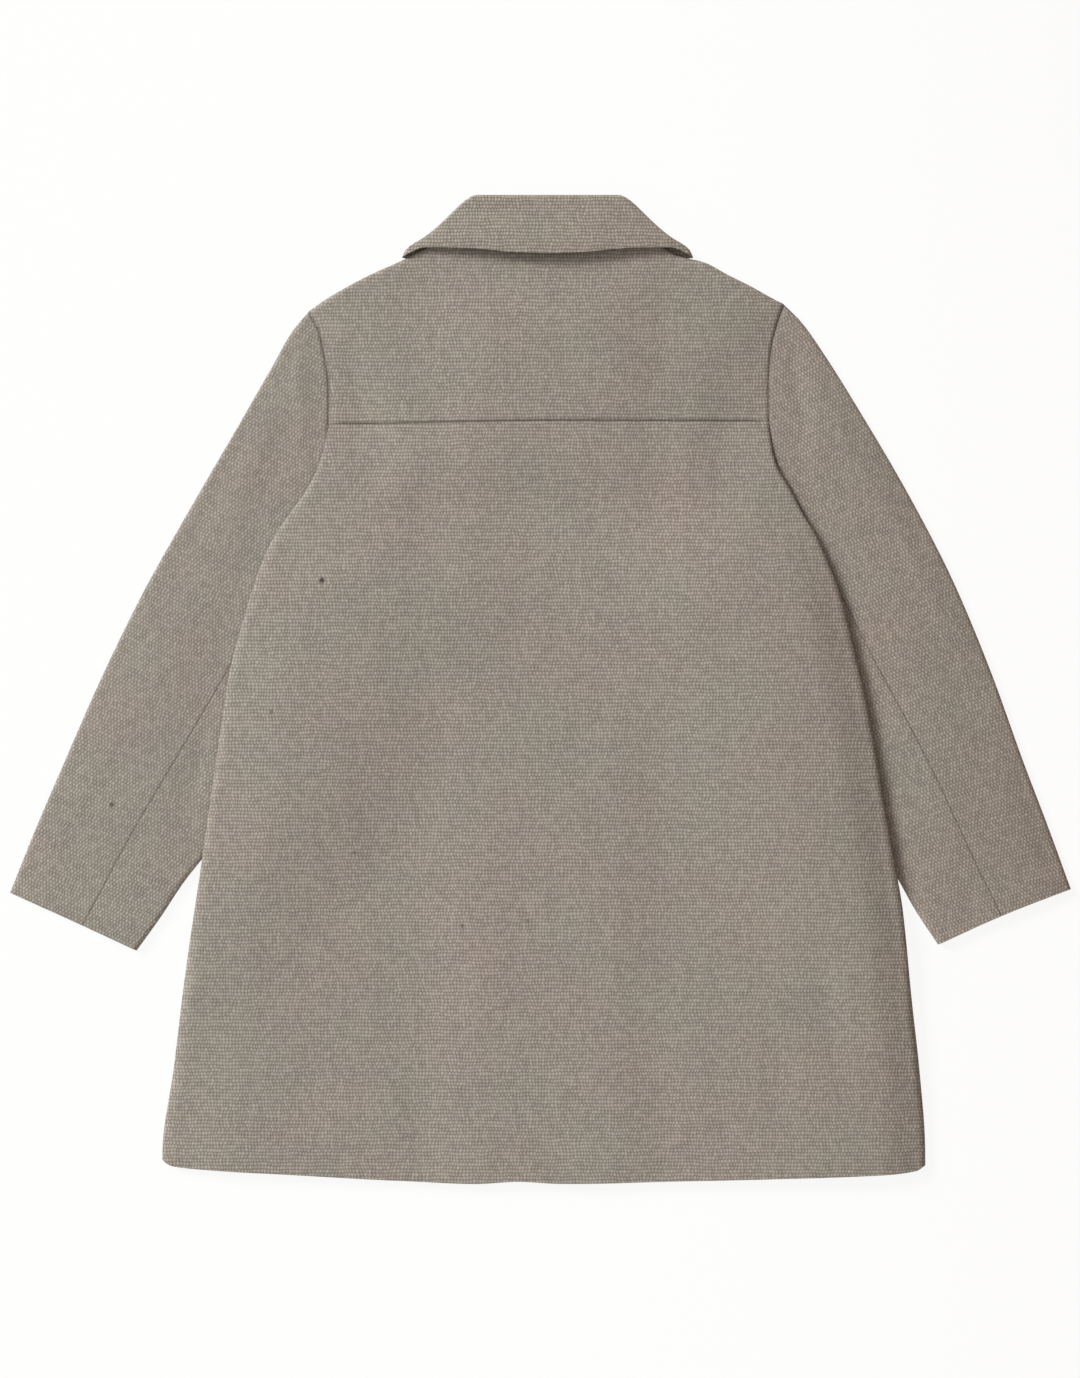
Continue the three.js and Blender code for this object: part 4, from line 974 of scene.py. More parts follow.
def make_sleeve(side):
    rows = SLEEVE_LEFT if side == "left" else SLEEVE_RIGHT
    middle = SLEEVE_HEIGHT / 2
    head = np.linspace(0.01, SLEEVE_HEAD, SLEEVE_ROWS["head"])
    arm = np.linspace(SLEEVE_HEAD, 1, SLEEVE_ROWS["arm"] + 1)[1:]
    parts = np.concatenate([BESIDE_ARMHOLE, head, arm])
    bend, rise = roll_stations()
    turn_bend = np.concatenate([bend[::-1], bend[1:]])
    turn_level = np.concatenate([rise[::-1], -rise[1:]])

    def section(part):
        outer = np.array([read_curve(rows, "part", c, part) for c in ("outerX", "outerY")], float)
        inner = np.array([read_curve(rows, "part", c, part) for c in ("innerX", "innerY")], float)
        return outer, inner, float(np.hypot(*(outer - inner)))

    def point(part, distance, level, fold, dip):
        outer, inner, width = section(part)
        share = distance / width
        arm_y = lerp(rows[0]["outerY"], rows[0]["innerY"], share)
        chord_x = lerp(rows[0]["outerX"], rows[0]["innerX"], share)
        bow = (sleeve_end(side, arm_y, level) - chord_x) * (1 - smooth(part / BOW_PART))
        x = lerp(outer[0], inner[0], share) + bow
        near_cuff = smooth((part - CUFF_START) / (1 - CUFF_START))
        y = lerp(outer[1], inner[1], share) + CUFF_HOLLOW[side] * np.sin(math.pi * share) * near_cuff
        edge = SLEEVE_FOLDS["edge"]
        inside = smooth(distance / edge) * smooth((width - distance) / edge)
        clear = outward(side) * (x - body_edge(side, y))
        shown = smooth((clear - SLEEVE_FOLDS["body_from"]) / SLEEVE_FOLDS["body_over"])
        fold_shape = creases(SLEEVE_CREASES[side], x, y) * inside * shown
        top = sleeve_top_height(side, x, y, distance) - middle
        reach = np.where(level > 0, top + fold_shape, middle)
        end_gap = outward(side) * (x - sleeve_end(side, y, 1))
        armhole = armhole_line(side, end_gap, y) * (level > 0)
        line = np.maximum(dip, armhole)
        z = middle + level * (reach - (0 if fold else SHELL)) - np.sign(level) * SEAM_DIP * line
        return np.stack([x, y, z], -1), line

    def build(name, stations_at):
        outer, inner, flats, seams = [], [], [], []
        for part in parts:
            outer_d, inner_d, level, dip = stations_at(section(part)[2])
            top, line = point(part, outer_d, level, True, dip)
            outer.append(top)
            inner.append(point(part, inner_d, level, False, dip)[0])
            flats.append(grid(*sleeve_grain(side, top[:, 0], top[:, 1])))
            seams.append(line)
        return cloth_shell(name, np.array(outer), np.array(inner), np.array(flats), np.array(seams))

    def spread(start, end, count, seam_at):
        """A fixed count of places from start to end, close together at the seam."""
        way = np.sign(end - start)
        close = way * BESIDE_SLEEVE_SEAM
        if seam_at == "start":
            return np.concatenate([start + close, np.linspace(start + way * NEXT_TO_SEAM, end, count)])
        return np.concatenate([np.linspace(start, end - way * NEXT_TO_SEAM, count), end - close[::-1]])

    def level_and_dip(places, upper, lower, seam, fore):
        """Which face each place is on, from 1 above to -1 below, and how far it sinks to a seam and takes
        its painted shade.
        """
        level = np.concatenate([np.ones(upper), turn_level, -np.ones(lower)])
        near = np.where(level >= 0, np.abs(places - seam), np.abs(places - fore))
        return level, SLEEVE_SEAM_SHARE * seam_line(near, SLEEVE_SEAM_REACH)

    def top_stations(width):
        seam = width * SLEEVE_SEAM[side] - SEAM / 2
        fore = width - FORE_SEAM_INSET
        upper = spread(seam, ROLL, TOP_COLUMNS["upper"], "start")[:-1]
        lower = spread(ROLL, fore, TOP_COLUMNS["lower"], "end")[1:]
        outer_d = np.concatenate([upper, ROLL * turn_bend, lower])
        inner_d = np.concatenate([upper, SHELL + (ROLL - SHELL) * turn_bend, lower])
        return (outer_d, inner_d, *level_and_dip(outer_d, len(upper), len(lower), seam, fore))

    def under_stations(width):
        seam = width * SLEEVE_SEAM[side] + SEAM / 2
        fore = width - FORE_SEAM_INSET + SEAM
        upper = spread(seam, width - ROLL, UNDER_COLUMNS["upper"], "start")[:-1]
        lower = spread(width - ROLL, fore, UNDER_COLUMNS["lower"], "end")[1:]
        outer_d = np.concatenate([upper, width - ROLL * turn_bend, lower])
        inner_d = np.concatenate([upper, width - SHELL - (ROLL - SHELL) * turn_bend, lower])
        return (outer_d, inner_d, *level_and_dip(outer_d, len(upper), len(lower), seam, fore))

    top = build(f"cloth_sleeve_top_{side}", top_stations)
    return top, build(f"cloth_sleeve_under_{side}", under_stations)


sleeve_top_left, sleeve_under_left = make_sleeve("left")
sleeve_top_right, sleeve_under_right = make_sleeve("right")

# %% [markdown]
# ## Collar
# The collar is folded down over the yoke. The fall is the outer leaf, turned out of two layers, and
# the stand is inside it. A profile swept round the neckline could not keep the two front points.
# Here both pieces share one run of columns, from one front point round the neck to the other.

# %% Collar columns
COLLAR_MIDDLE = COLLAR_LAYER + WALL + SEAM / 2
FALL_REACH = COLLAR_MIDDLE
STAND_REACH = WALL + SEAM / 2
FOLD_REACH = STAND_REACH + SEAM / 2


def collar_columns(front, back):
    """Columns round the collar: front leaf, side turn, back leaf, side turn, front leaf."""
    bend, rise = roll_stations()
    columns = []
    for t in np.linspace(1, 0, front + 1)[:-1]:
        columns.append({"zone": "front", "hand": -1, "t": t})
    for b, r in zip(bend[::-1], rise[::-1]):
        columns.append({"zone": "turn", "hand": -1, "bend": b, "rise": -r})
    for b, r in zip(bend[1:], rise[1:]):
        columns.append({"zone": "turn", "hand": -1, "bend": b, "rise": r})
    for t in np.linspace(0, 1, back + 1)[1:-1]:
        columns.append({"zone": "back", "t": t})
    for b, r in zip(bend[::-1], rise[::-1]):
        columns.append({"zone": "turn", "hand": 1, "bend": b, "rise": r})
    for b, r in zip(bend[1:], rise[1:]):
        columns.append({"zone": "turn", "hand": 1, "bend": b, "rise": -r})
    for t in np.linspace(0, 1, front + 1)[1:]:
        columns.append({"zone": "front", "hand": 1, "t": t})
    return columns


def unrolled(outer, columns, reach):
    """The collar's own flat directions, which keep the length of cloth that goes round its folds."""
    sunk = np.clip(reach - np.abs(outer[..., 2] - COLLAR_MIDDLE), 0, reach)
    hand = np.array([column.get("hand", 0) if column["zone"] == "turn" else 0 for column in columns])
    fold = np.array([0 if column["zone"] == "turn" else 1 for column in columns])
    return grid(outer[..., 0] + hand * sunk, outer[..., 1] + fold * sunk)


print("the collar is folded", round(COLLAR_MIDDLE, 2), "mm above the ground")

# %% [markdown]
# ## Fall
# The fall is the leaf that shows. Its free edge stands a little off the back, most of all in the
# middle, which gives the dark line under it. A plain flat leaf would need a painted line there. Each
# row down the collar has a width of its own, read from the outline, so both ends come out as they lie.

# %% Fall
FOLD_LEVEL = 454.2
COLLAR_FOLD_HALF = 68
COLLAR_EDGE_HALF = 134
COLLAR_TIP_LEVEL = 397
COLLAR_EDGE_LIFT = 5.5
FALL_SIDE = [
    {"down": 0, "half": 68},
    {"down": 0.04, "half": 72.4},
    {"down": 0.12, "half": 78.7},
    {"down": 0.235, "half": 85.6},
    {"down": 0.4, "half": 95.2},
    {"down": 0.56, "half": 105.3},
    {"down": 0.725, "half": 117.8},
    {"down": 0.805, "half": 125.8},
    {"down": 0.887, "half": 131},
    {"down": 1, "half": 134},
]
FALL_EDGE = [
    {"across": 0, "y": 397},
    {"across": 8, "y": 401},
    {"across": 20, "y": 405.4},
    {"across": 38, "y": 405.2},
    {"across": 62, "y": 404.4},
    {"across": 100, "y": 400.8},
    {"across": 134, "y": 399.3},
]
FALL_COUNTS = {"front": 20, "back": 66, "down": 16}
COLLAR_LIFT_POWER = 0.7


def fall_edge(x):
    return float(read_curve(FALL_EDGE, "across", "y", COLLAR_EDGE_HALF - abs(x - COLLAR_CENTRE)))


def fall_plan(column, down, inset):
    silhouette = float(read_curve(FALL_SIDE, "down", "half", down))
    level = lerp(FOLD_LEVEL, COLLAR_TIP_LEVEL, down)
    if column["zone"] == "turn":
        edge_x = mirror_x(COLLAR_EDGE_HALF - inset, 1)
        edge_rise = (fall_edge(edge_x) - COLLAR_TIP_LEVEL) * down if column["rise"] > 0 else 0
        return mirror_x(silhouette - inset, column["hand"]), level + edge_rise
    if column["zone"] == "back":
        across = lerp(-1, 1, column["t"])
        x = mirror_x(across * (silhouette - ROLL), 1)
        edge_x = mirror_x(across * (COLLAR_EDGE_HALF - ROLL), 1)
        return x, lerp(FOLD_LEVEL, fall_edge(edge_x), down)
    t = column["t"]
    fold_x = float(read_curve(FRONT_FOLD, "part", "x", t)) - ROLL * (1 - t)
    point_x = float(read_curve(FRONT_POINT, "part", "x", t)) - ROLL * (1 - t)
    fold_y = float(read_curve(FRONT_FOLD, "part", "y", t))
    point_y = float(read_curve(FRONT_POINT, "part", "y", t))
    bulge = (silhouette - lerp(COLLAR_FOLD_HALF, COLLAR_EDGE_HALF, down)) * (1 - t)
    return mirror_x(lerp(fold_x, point_x, down) + bulge, column["hand"]), lerp(fold_y, point_y, down)


def make_fall():
    columns = collar_columns(FALL_COUNTS["front"], FALL_COUNTS["back"])
    length = FOLD_LEVEL - COLLAR_TIP_LEVEL
    bend, rise = roll_stations()
    rows = [(b, r, ROLL * b / length) for b, r in zip(bend, rise)]
    rows += [(1, 1, t) for t in np.linspace(ROLL / length, 1, FALL_COUNTS["down"] + 1)[1:]]
    outer, inner = [], []
    for b, r, down in rows:
        inner_down = (COLLAR_SHELL + (ROLL - COLLAR_SHELL) * b) / length if r < 1 else down
        outer_row, inner_row = [], []
        for column in columns:
            face = {"front": -1, "back": 1}.get(column["zone"], column.get("rise"))
            bend_here = column["bend"] if column["zone"] == "turn" else 1
            across = column["t"] if column["zone"] == "back" else 0
            arch = math.sin(math.pi * across) ** COLLAR_LIFT_POWER
            lift = COLLAR_EDGE_LIFT * float(smooth(down)) * arch
            reach = FOLD_REACH + (FALL_REACH - FOLD_REACH) * r
            inside = FALL_REACH - COLLAR_SHELL
            ox, oy = fall_plan(column, down, ROLL * bend_here)
            ix, iy = fall_plan(column, inner_down, COLLAR_SHELL + (ROLL - COLLAR_SHELL) * bend_here)
            outer_row.append((ox, oy, COLLAR_MIDDLE + face * reach + lift))
            inner_row.append((ix, iy, COLLAR_MIDDLE + face * inside + lift))
        outer.append(outer_row)
        inner.append(inner_row)
    outer = np.array(outer)
    seam = np.zeros(outer.shape[:2])
    flat = unrolled(outer, columns, FALL_REACH)
    return cloth_shell("cloth_collar_fall", outer, np.array(inner), flat, seam)


fall = make_fall()

# %% [markdown]
# ## Stand
# The stand is the band between the fold and the neckline. It hardly shows, but it holds the fall
# up, so it is built in the same way from fewer columns.

# %% Stand
STAND_COUNTS = {"front": 20, "back": 40, "down": 8}
STAND_INSET = COLLAR_LAYER + 1
NECK_FRONT = 9
NECK_PLACES = 11


def front_neck(side, x):
    spread = np.linspace(0, 1, NECK_PLACES) ** FRONT_SPREAD
    edge_x = lerp(shoulder_end(side)["x"], front_end(side), spread)
    y = front_top_edge(edge_x) - SEAM
    at = lerp(front_start(side, y), front_end(side), spread)
    order = np.argsort(at)
    return float(np.interp(x, at[order], y[order]))


def stand_plan(column, down, inset):
    fold_half = COLLAR_FOLD_HALF - STAND_INSET
    silhouette = lerp(fold_half, NECK_HALF, down)
    fold_level = FOLD_LEVEL - SEAM
    if column["zone"] == "turn":
        return mirror_x(silhouette - inset, column["hand"]), lerp(fold_level, NECK_LEVEL + 2 * SEAM, down)
    if column["zone"] == "back":
        across = lerp(-1, 1, column["t"])
        x = mirror_x(across * (silhouette - ROLL), 1)
        neck_x = mirror_x(across * (NECK_HALF - ROLL), 1)
        return x, lerp(fold_level, float(yoke_top(neck_x)) + 2 * SEAM, down)
    t = column["t"]
    fold_x = float(read_curve(FRONT_FOLD, "part", "x", t)) - (STAND_INSET + ROLL) * (1 - t)
    fold_y = float(read_curve(FRONT_FOLD, "part", "y", t))
    neck_x = lerp(NECK_HALF - ROLL, NECK_FRONT, t)
    side = "left" if column["hand"] < 0 else "right"
    neck_y = front_neck(side, mirror_x(neck_x, column["hand"])) + 4 * SEAM
    return mirror_x(lerp(fold_x, neck_x, down), column["hand"]), lerp(fold_y, neck_y, down)


def make_stand():
    columns = collar_columns(STAND_COUNTS["front"], STAND_COUNTS["back"])
    length = FOLD_LEVEL - NECK_LEVEL
    bend, rise = roll_stations()
    rows = [(b, r, ROLL * b / length) for b, r in zip(bend, rise)]
    rows += [(1, 1, t) for t in np.linspace(ROLL / length, 1, STAND_COUNTS["down"] + 1)[1:]]
    outer, inner = [], []
    for b, r, down in rows:
        outer_down = (SHELL + (ROLL - SHELL) * b) / length if r < 1 else down
        outer_row, inner_row = [], []
        for column in columns:
            face = {"front": -1, "back": 1}.get(column["zone"], column.get("rise"))
            bend_here = column["bend"] if column["zone"] == "turn" else 1
            ox, oy = stand_plan(column, outer_down, ROLL * bend_here)
            ix, iy = stand_plan(column, down, SHELL + (ROLL - SHELL) * bend_here)
            inner_reach = STAND_REACH - SHELL * r
            outer_row.append((ox, oy, COLLAR_MIDDLE + face * STAND_REACH))
            inner_row.append((ix, iy, COLLAR_MIDDLE + face * inner_reach))
        outer.append(outer_row)
        inner.append(inner_row)
    outer = np.array(outer)
    seam = np.zeros(outer.shape[:2])
    flat = unrolled(outer, columns, STAND_REACH)
    return cloth_shell("cloth_collar_stand", outer, np.array(inner), flat, seam)


stand = make_stand()

# %% [markdown]
# ## Node groups
# The wool is a basket weave of thick yarns. Its pattern is used by both materials, so it lives in
# shader node groups: one gives the crowns of the yarns and their height, the others tint and flecks.
# A photograph of cloth could do the same but would repeat and would fix the light in it. The dark
# line of a seam is painted shade, added in each material.

# %% Node helpers


def new_group(name, inputs, outputs):
    """A shader node group with named sockets; returns the group, its input node and its output node."""
    group = bpy.data.node_groups.new(name, "ShaderNodeTree")
    for label, kind, value in inputs:
        socket = group.interface.new_socket(name=label, in_out="INPUT", socket_type=kind)
        if value is not None:
            socket.default_value = value
    for label, kind in outputs:
        group.interface.new_socket(name=label, in_out="OUTPUT", socket_type=kind)
    return group, group.nodes.new("NodeGroupInput"), group.nodes.new("NodeGroupOutput")


def math_node(tree, operation, *values):
    """A math node whose inputs are sockets or plain numbers; returns its output socket."""
    node = tree.nodes.new("ShaderNodeMath")
    node.operation = operation
    for k, value in enumerate(values):
        if isinstance(value, (int, float)):
            node.inputs[k].default_value = value
        else:
            tree.links.new(value, node.inputs[k])
    return node.outputs[0]


def mix_colour(tree, factor, first, second, blend="MIX"):
    """A colour mix whose inputs are sockets or plain values; returns its output socket."""
    node = tree.nodes.new("ShaderNodeMix")
    node.data_type = "RGBA"
    node.blend_type = blend
    for name, value in (("Factor_Float", factor), ("A_Color", first), ("B_Color", second)):
        socket = next(s for s in node.inputs if s.identifier == name)
        if isinstance(value, (int, float, tuple)):
            socket.default_value = value
        else:
            tree.links.new(value, socket)
    return next(s for s in node.outputs if s.identifier == "Result_Color")


print("the helpers make math and mix nodes, and named groups of them")

# %% [markdown]
# ## Basket weave
# The real cloth is woven of thick yarns, which lie in rows with small gaps between them. A brick or
# checker texture would give hard, even cells. Here a cosine along the cloth makes the rows and one
# across it makes the yarns. Each row slides by its own amount, so no column runs straight.

# %% Weave group
PITCH_ACROSS = 0.0029
PITCH_ALONG = 0.0032
DRIFT_SCALE = 45
DRIFT_STEP = 0.83
FUZZ_SCALE = 1400
GAP_DOTS = 0.5
WANDER_SCALE = 60
CROWN_BASE = 0.42
CROWN_FUZZ = 0.16
UNEVEN_LOW = 0.75
UNEVEN_SPAN = 0.5


def make_weave():
    inputs = [
        ("Cloth", "NodeSocketVector", None),
        ("Pitch across", "NodeSocketFloat", PITCH_ACROSS),
        ("Pitch along", "NodeSocketFloat", PITCH_ALONG),
        ("Wander", "NodeSocketFloat", 0.0034),
        ("Offset", "NodeSocketFloat", 0.5),
        ("Rows", "NodeSocketFloat", 0.14),
        ("Dots", "NodeSocketFloat", 0.14),
        ("Row drift", "NodeSocketFloat", 1.8),
    ]
    outputs = [("Crown", "NodeSocketFloat"), ("Grain", "NodeSocketFloat"), ("Height", "NodeSocketFloat")]
    group, start, end = new_group("Basket weave", inputs, outputs)
    wander = group.nodes.new("ShaderNodeTexNoise")
    wander.inputs["Scale"].default_value = WANDER_SCALE
    wander.inputs["Detail"].default_value = 4
    group.links.new(start.outputs["Cloth"], wander.inputs["Vector"])
    split_noise = group.nodes.new("ShaderNodeSeparateColor")
    group.links.new(wander.outputs["Color"], split_noise.inputs[0])
    split = group.nodes.new("ShaderNodeSeparateXYZ")
    group.links.new(start.outputs["Cloth"], split.inputs[0])

    def cell(axis, noise, pitch):
        centred = math_node(group, "SUBTRACT", split_noise.outputs[noise], 0.5)
        shift = math_node(group, "MULTIPLY", centred, start.outputs["Wander"])
        place = math_node(group, "ADD", split.outputs[axis], shift)
        return math_node(group, "DIVIDE", place, start.outputs[pitch])

    along = cell("Y", "Green", "Pitch along")
    row = math_node(group, "FLOOR", along)
    step = math_node(group, "MULTIPLY", row, start.outputs["Offset"])
    track = group.nodes.new("ShaderNodeCombineXYZ")
    group.links.new(math_node(group, "MULTIPLY", split.outputs["X"], DRIFT_SCALE), track.inputs[0])
    group.links.new(math_node(group, "MULTIPLY", row, DRIFT_STEP), track.inputs[1])
    drift = group.nodes.new("ShaderNodeTexNoise")
    drift.noise_dimensions = "2D"
    drift.inputs["Scale"].default_value = 1
    drift.inputs["Detail"].default_value = 1
    group.links.new(track.outputs[0], drift.inputs["Vector"])
    slide = math_node(group, "MULTIPLY_ADD", drift.outputs["Fac"], start.outputs["Row drift"], step)
    across = math_node(group, "ADD", cell("X", "Red", "Pitch across"), slide)

    def wave(value):
        return math_node(group, "COSINE", math_node(group, "MULTIPLY", value, 2 * math.pi))

    rows_down = math_node(group, "MULTIPLY", start.outputs["Rows"], -1.0)
    lines = math_node(group, "MULTIPLY", wave(along), rows_down)
    turn = math_node(group, "MULTIPLY", along, math.pi)
    arch = math_node(group, "ABSOLUTE", math_node(group, "SINE", turn))
    swell = math_node(group, "MULTIPLY_ADD", arch, 1 - GAP_DOTS, GAP_DOTS)
    yarns = math_node(group, "MULTIPLY", wave(across), swell)
    dots = math_node(group, "MULTIPLY", yarns, start.outputs["Dots"])
    fuzz = group.nodes.new("ShaderNodeTexNoise")
    fuzz.inputs["Scale"].default_value = FUZZ_SCALE
    fuzz.inputs["Detail"].default_value = 1
    group.links.new(start.outputs["Cloth"], fuzz.inputs["Vector"])
    base = math_node(group, "MULTIPLY_ADD", fuzz.outputs["Fac"], CROWN_FUZZ, CROWN_BASE)
    crown = math_node(group, "ADD", base, math_node(group, "ADD", lines, dots))
    place = group.nodes.new("ShaderNodeCombineXYZ")
    group.links.new(math_node(group, "ROUND", across), place.inputs[0])
    group.links.new(row, place.inputs[1])
    random = group.nodes.new("ShaderNodeTexWhiteNoise")
    random.noise_dimensions = "2D"
    group.links.new(place.outputs[0], random.inputs["Vector"])
    uneven = math_node(group, "MULTIPLY_ADD", random.outputs["Value"], UNEVEN_SPAN, UNEVEN_LOW)
    group.links.new(crown, end.inputs["Crown"])
    group.links.new(random.outputs["Value"], end.inputs["Grain"])
    group.links.new(math_node(group, "MULTIPLY", crown, uneven), end.inputs["Height"])
    return group


weave_group = make_weave()
print("weave", PITCH_ACROSS, "by", PITCH_ALONG, "m")

# %% [markdown]
# ## Tint and flecks
# Undyed wool is never of one colour: it drifts a little towards pink, green and grey, and holds a few
# dark fibres. A painted map could show that, but it would need a picture. Slow noise gives the
# drifts, and each fleck is a small spot at a place of its own.

# %% Tint and fleck groups
TINTS = [
    {"scale": 9, "low": (1.035, 0.985, 0.99, 1), "high": (0.97, 1.012, 0.985, 1), "shift": 0},
    {"scale": 22, "low": (0.972, 0.975, 0.99, 1), "high": (1.028, 1.022, 1.008, 1), "shift": 5},
    {"scale": 120, "low": (0.978, 0.978, 0.98, 1), "high": (1.022, 1.022, 1.02, 1), "shift": 9},
]
TINT_FROM = 0.3
TINT_TO = 0.7
PLAIN = (1.0, 1.0, 1.0, 1.0)


def make_tint():
    """Slow, faint drifts of pink, green and light over the cloth."""
    inputs = [("Cloth", "NodeSocketVector", None), ("Strength", "NodeSocketFloat", 1.0)]
    group, start, end = new_group("Cloth tint", inputs, [("Colour", "NodeSocketColor")])
    result = PLAIN
    for row in TINTS:
        shift = group.nodes.new("ShaderNodeVectorMath")
        shift.operation = "ADD"
        shift.inputs[1].default_value = (row["shift"], row["shift"], 0)
        group.links.new(start.outputs["Cloth"], shift.inputs[0])
        noise = group.nodes.new("ShaderNodeTexNoise")
        noise.inputs["Scale"].default_value = row["scale"]
        noise.inputs["Detail"].default_value = 2
        group.links.new(shift.outputs[0], noise.inputs["Vector"])
        spread = group.nodes.new("ShaderNodeMapRange")
        spread.inputs["From Min"].default_value = TINT_FROM
        spread.inputs["From Max"].default_value = TINT_TO
        group.links.new(noise.outputs["Fac"], spread.inputs["Value"])
        layer = mix_colour(group, spread.outputs[0], row["low"], row["high"])
        result = layer if isinstance(result, tuple) else mix_colour(group, 1.0, result, layer, "MULTIPLY")
    final = mix_colour(group, start.outputs["Strength"], PLAIN, result)
    group.links.new(final, end.inputs["Colour"])
    return group


def make_fleck():
    """One small dark fleck of wool: 1 at its place on the cloth, 0 beyond its size."""
    inputs = [
        ("Cloth", "NodeSocketVector", None),
        ("Place", "NodeSocketVector", None),
        ("Size", "NodeSocketFloat", 0.0015),
    ]
    group, start, end = new_group("Fleck", inputs, [("Mask", "NodeSocketFloat")])
    apart = group.nodes.new("ShaderNodeVectorMath")
    apart.operation = "DISTANCE"
    group.links.new(start.outputs["Cloth"], apart.inputs[0])
    group.links.new(start.outputs["Place"], apart.inputs[1])
    share = math_node(group, "DIVIDE", apart.outputs["Value"], start.outputs["Size"])
    mask = math_node(group, "SUBTRACT", 1.0, math_node(group, "MINIMUM", share, 1.0))
    group.links.new(mask, end.inputs["Mask"])
    return group


tint_group = make_tint()
fleck_group = make_fleck()
print("groups:", len(bpy.data.node_groups))

# %% [markdown]
# ## Wool
# A warm grey-brown wool, quite matt, with a faint sheen from its nap. The crowns of the yarns are
# lighter than the gaps between them. The body and the collar have their own slots, so that either can
# be repainted alone. The collar's wool is the same cloth with painted shade: its colour is a little darker.

# %% Wool materials
WOOL_LIGHT = (0.414, 0.373, 0.327, 1)
# Painted shade: the collar's yarn colour is the body's, painted about five per cent darker.
COLLAR_SHADED_LIGHT = (0.398, 0.355, 0.308, 1)
WOOL_DARK = (0.088, 0.076, 0.063, 1)
FLECK_COLOUR = (0.03, 0.025, 0.022, 1)
FLECK_EDGE = 2
# Painted shade: seams are darkened towards this colour, standing in for the shade in their grooves.
SEAM_SHADE_COLOUR = (0.05, 0.04, 0.033, 1)
SEAM_SHADE_STRENGTH = 0.5
GRAIN_SPAN = 0.22
BODY_WEAVE = {"Offset": 0.0, "Rows": 0.16, "Dots": 0.2, "Row_drift": 2.0}
SLEEVE_WEAVE = {"Offset": 0.5, "Rows": 0.1, "Dots": 0.24, "Row_drift": 0.8, "Pitch_across": 0.0031}
COLLAR_WEAVE = {"Offset": 0.0, "Rows": 0.19, "Dots": 0.22, "Row_drift": 2.0}
FLECKS = [
    {"x": -0.2001, "y": 0.0998, "size": 0.0032, "strength": 0.85},
    {"x": -0.0713, "y": -0.2176, "size": 0.0026, "strength": 0.5},
    {"x": -0.0115, "y": -0.213, "size": 0.0024, "strength": 0.45},
    {"x": -0.1707, "y": -0.1504, "size": 0.0024, "strength": 0.4},
    {"x": -0.2461, "y": -0.0207, "size": 0.0022, "strength": 0.45},
]
SLEEVE_FLECK = {"x": -394.2, "y": -106.3, "size": 0.003, "strength": 0.6}


def use_group(tree, group, **inputs):
    """Places a node group in a material and joins or sets its inputs by name."""
    node = tree.nodes.new("ShaderNodeGroup")
    node.node_tree = group
    for label, value in inputs.items():
        socket = node.inputs[label.replace("_", " ")]
        if isinstance(value, (int, float, tuple)):
            socket.default_value = value
        else:
            tree.links.new(value, socket)
    return node


def make_wool(name, weave_look, light, flecks):
    material = bpy.data.materials.new(name)
    material.use_nodes = True
    tree = material.node_tree
    shader = next(n for n in tree.nodes if n.type == "BSDF_PRINCIPLED")
    cloth = tree.nodes.new("ShaderNodeUVMap")
    cloth.uv_map = "cloth"
    place = cloth.outputs["UV"]
    weave = use_group(tree, weave_group, Cloth=place, **weave_look)
    tint = use_group(tree, tint_group, Cloth=place)
    uneven = math_node(tree, "MULTIPLY_ADD", weave.outputs["Grain"], GRAIN_SPAN, -GRAIN_SPAN / 2)
    lit = math_node(tree, "ADD", weave.outputs["Crown"], uneven)
    base = mix_colour(tree, lit, WOOL_DARK, light)
    colour = mix_colour(tree, 1.0, base, tint.outputs["Colour"], "MULTIPLY")
    for fleck in flecks:
        at = (fleck["x"], fleck["y"], 0.0)
        spot = use_group(tree, fleck_group, Cloth=place, Place=at, Size=fleck["size"])
        strength = math_node(tree, "MULTIPLY", spot.outputs["Mask"], fleck["strength"] * FLECK_EDGE)
        share = math_node(tree, "MINIMUM", strength, fleck["strength"])
        colour = mix_colour(tree, share, colour, FLECK_COLOUR)
    # Painted shade along each seam's groove, read from the seam mask.
    seam = tree.nodes.new("ShaderNodeAttribute")
    seam.attribute_name = "seam"
    sunk = math_node(tree, "MULTIPLY", seam.outputs["Fac"], SEAM_SHADE_STRENGTH)
    colour = mix_colour(tree, sunk, colour, SEAM_SHADE_COLOUR)
    tree.links.new(colour, shader.inputs["Base Color"])
    bump = tree.nodes.new("ShaderNodeBump")
    bump.inputs["Strength"].default_value = 0.5
    bump.inputs["Distance"].default_value = 0.0006
    tree.links.new(weave.outputs["Height"], bump.inputs["Height"])
    tree.links.new(bump.outputs["Normal"], shader.inputs["Normal"])
    shader.inputs["Roughness"].default_value = 0.92
    shader.inputs["Specular IOR Level"].default_value = 0.15
    shader.inputs["Sheen Weight"].default_value = 0.12
    shader.inputs["Sheen Roughness"].default_value = 0.6
    shader.inputs["Sheen Tint"].default_value = (0.9, 0.86, 0.8, 1)
    return material


across, along = sleeve_grain("left", SLEEVE_FLECK["x"], SLEEVE_FLECK["y"])
sleeve_fleck = {**SLEEVE_FLECK, "x": across * MM, "y": along * MM}
wool_body = make_wool("wool_body", BODY_WEAVE, WOOL_LIGHT, FLECKS)
wool_sleeve = make_wool("wool_sleeve", SLEEVE_WEAVE, WOOL_LIGHT, [sleeve_fleck])
# The collar takes the copy of the wool with painted shade in its colour.
wool_collar = make_wool("wool_collar", COLLAR_WEAVE, COLLAR_SHADED_LIGHT, [])
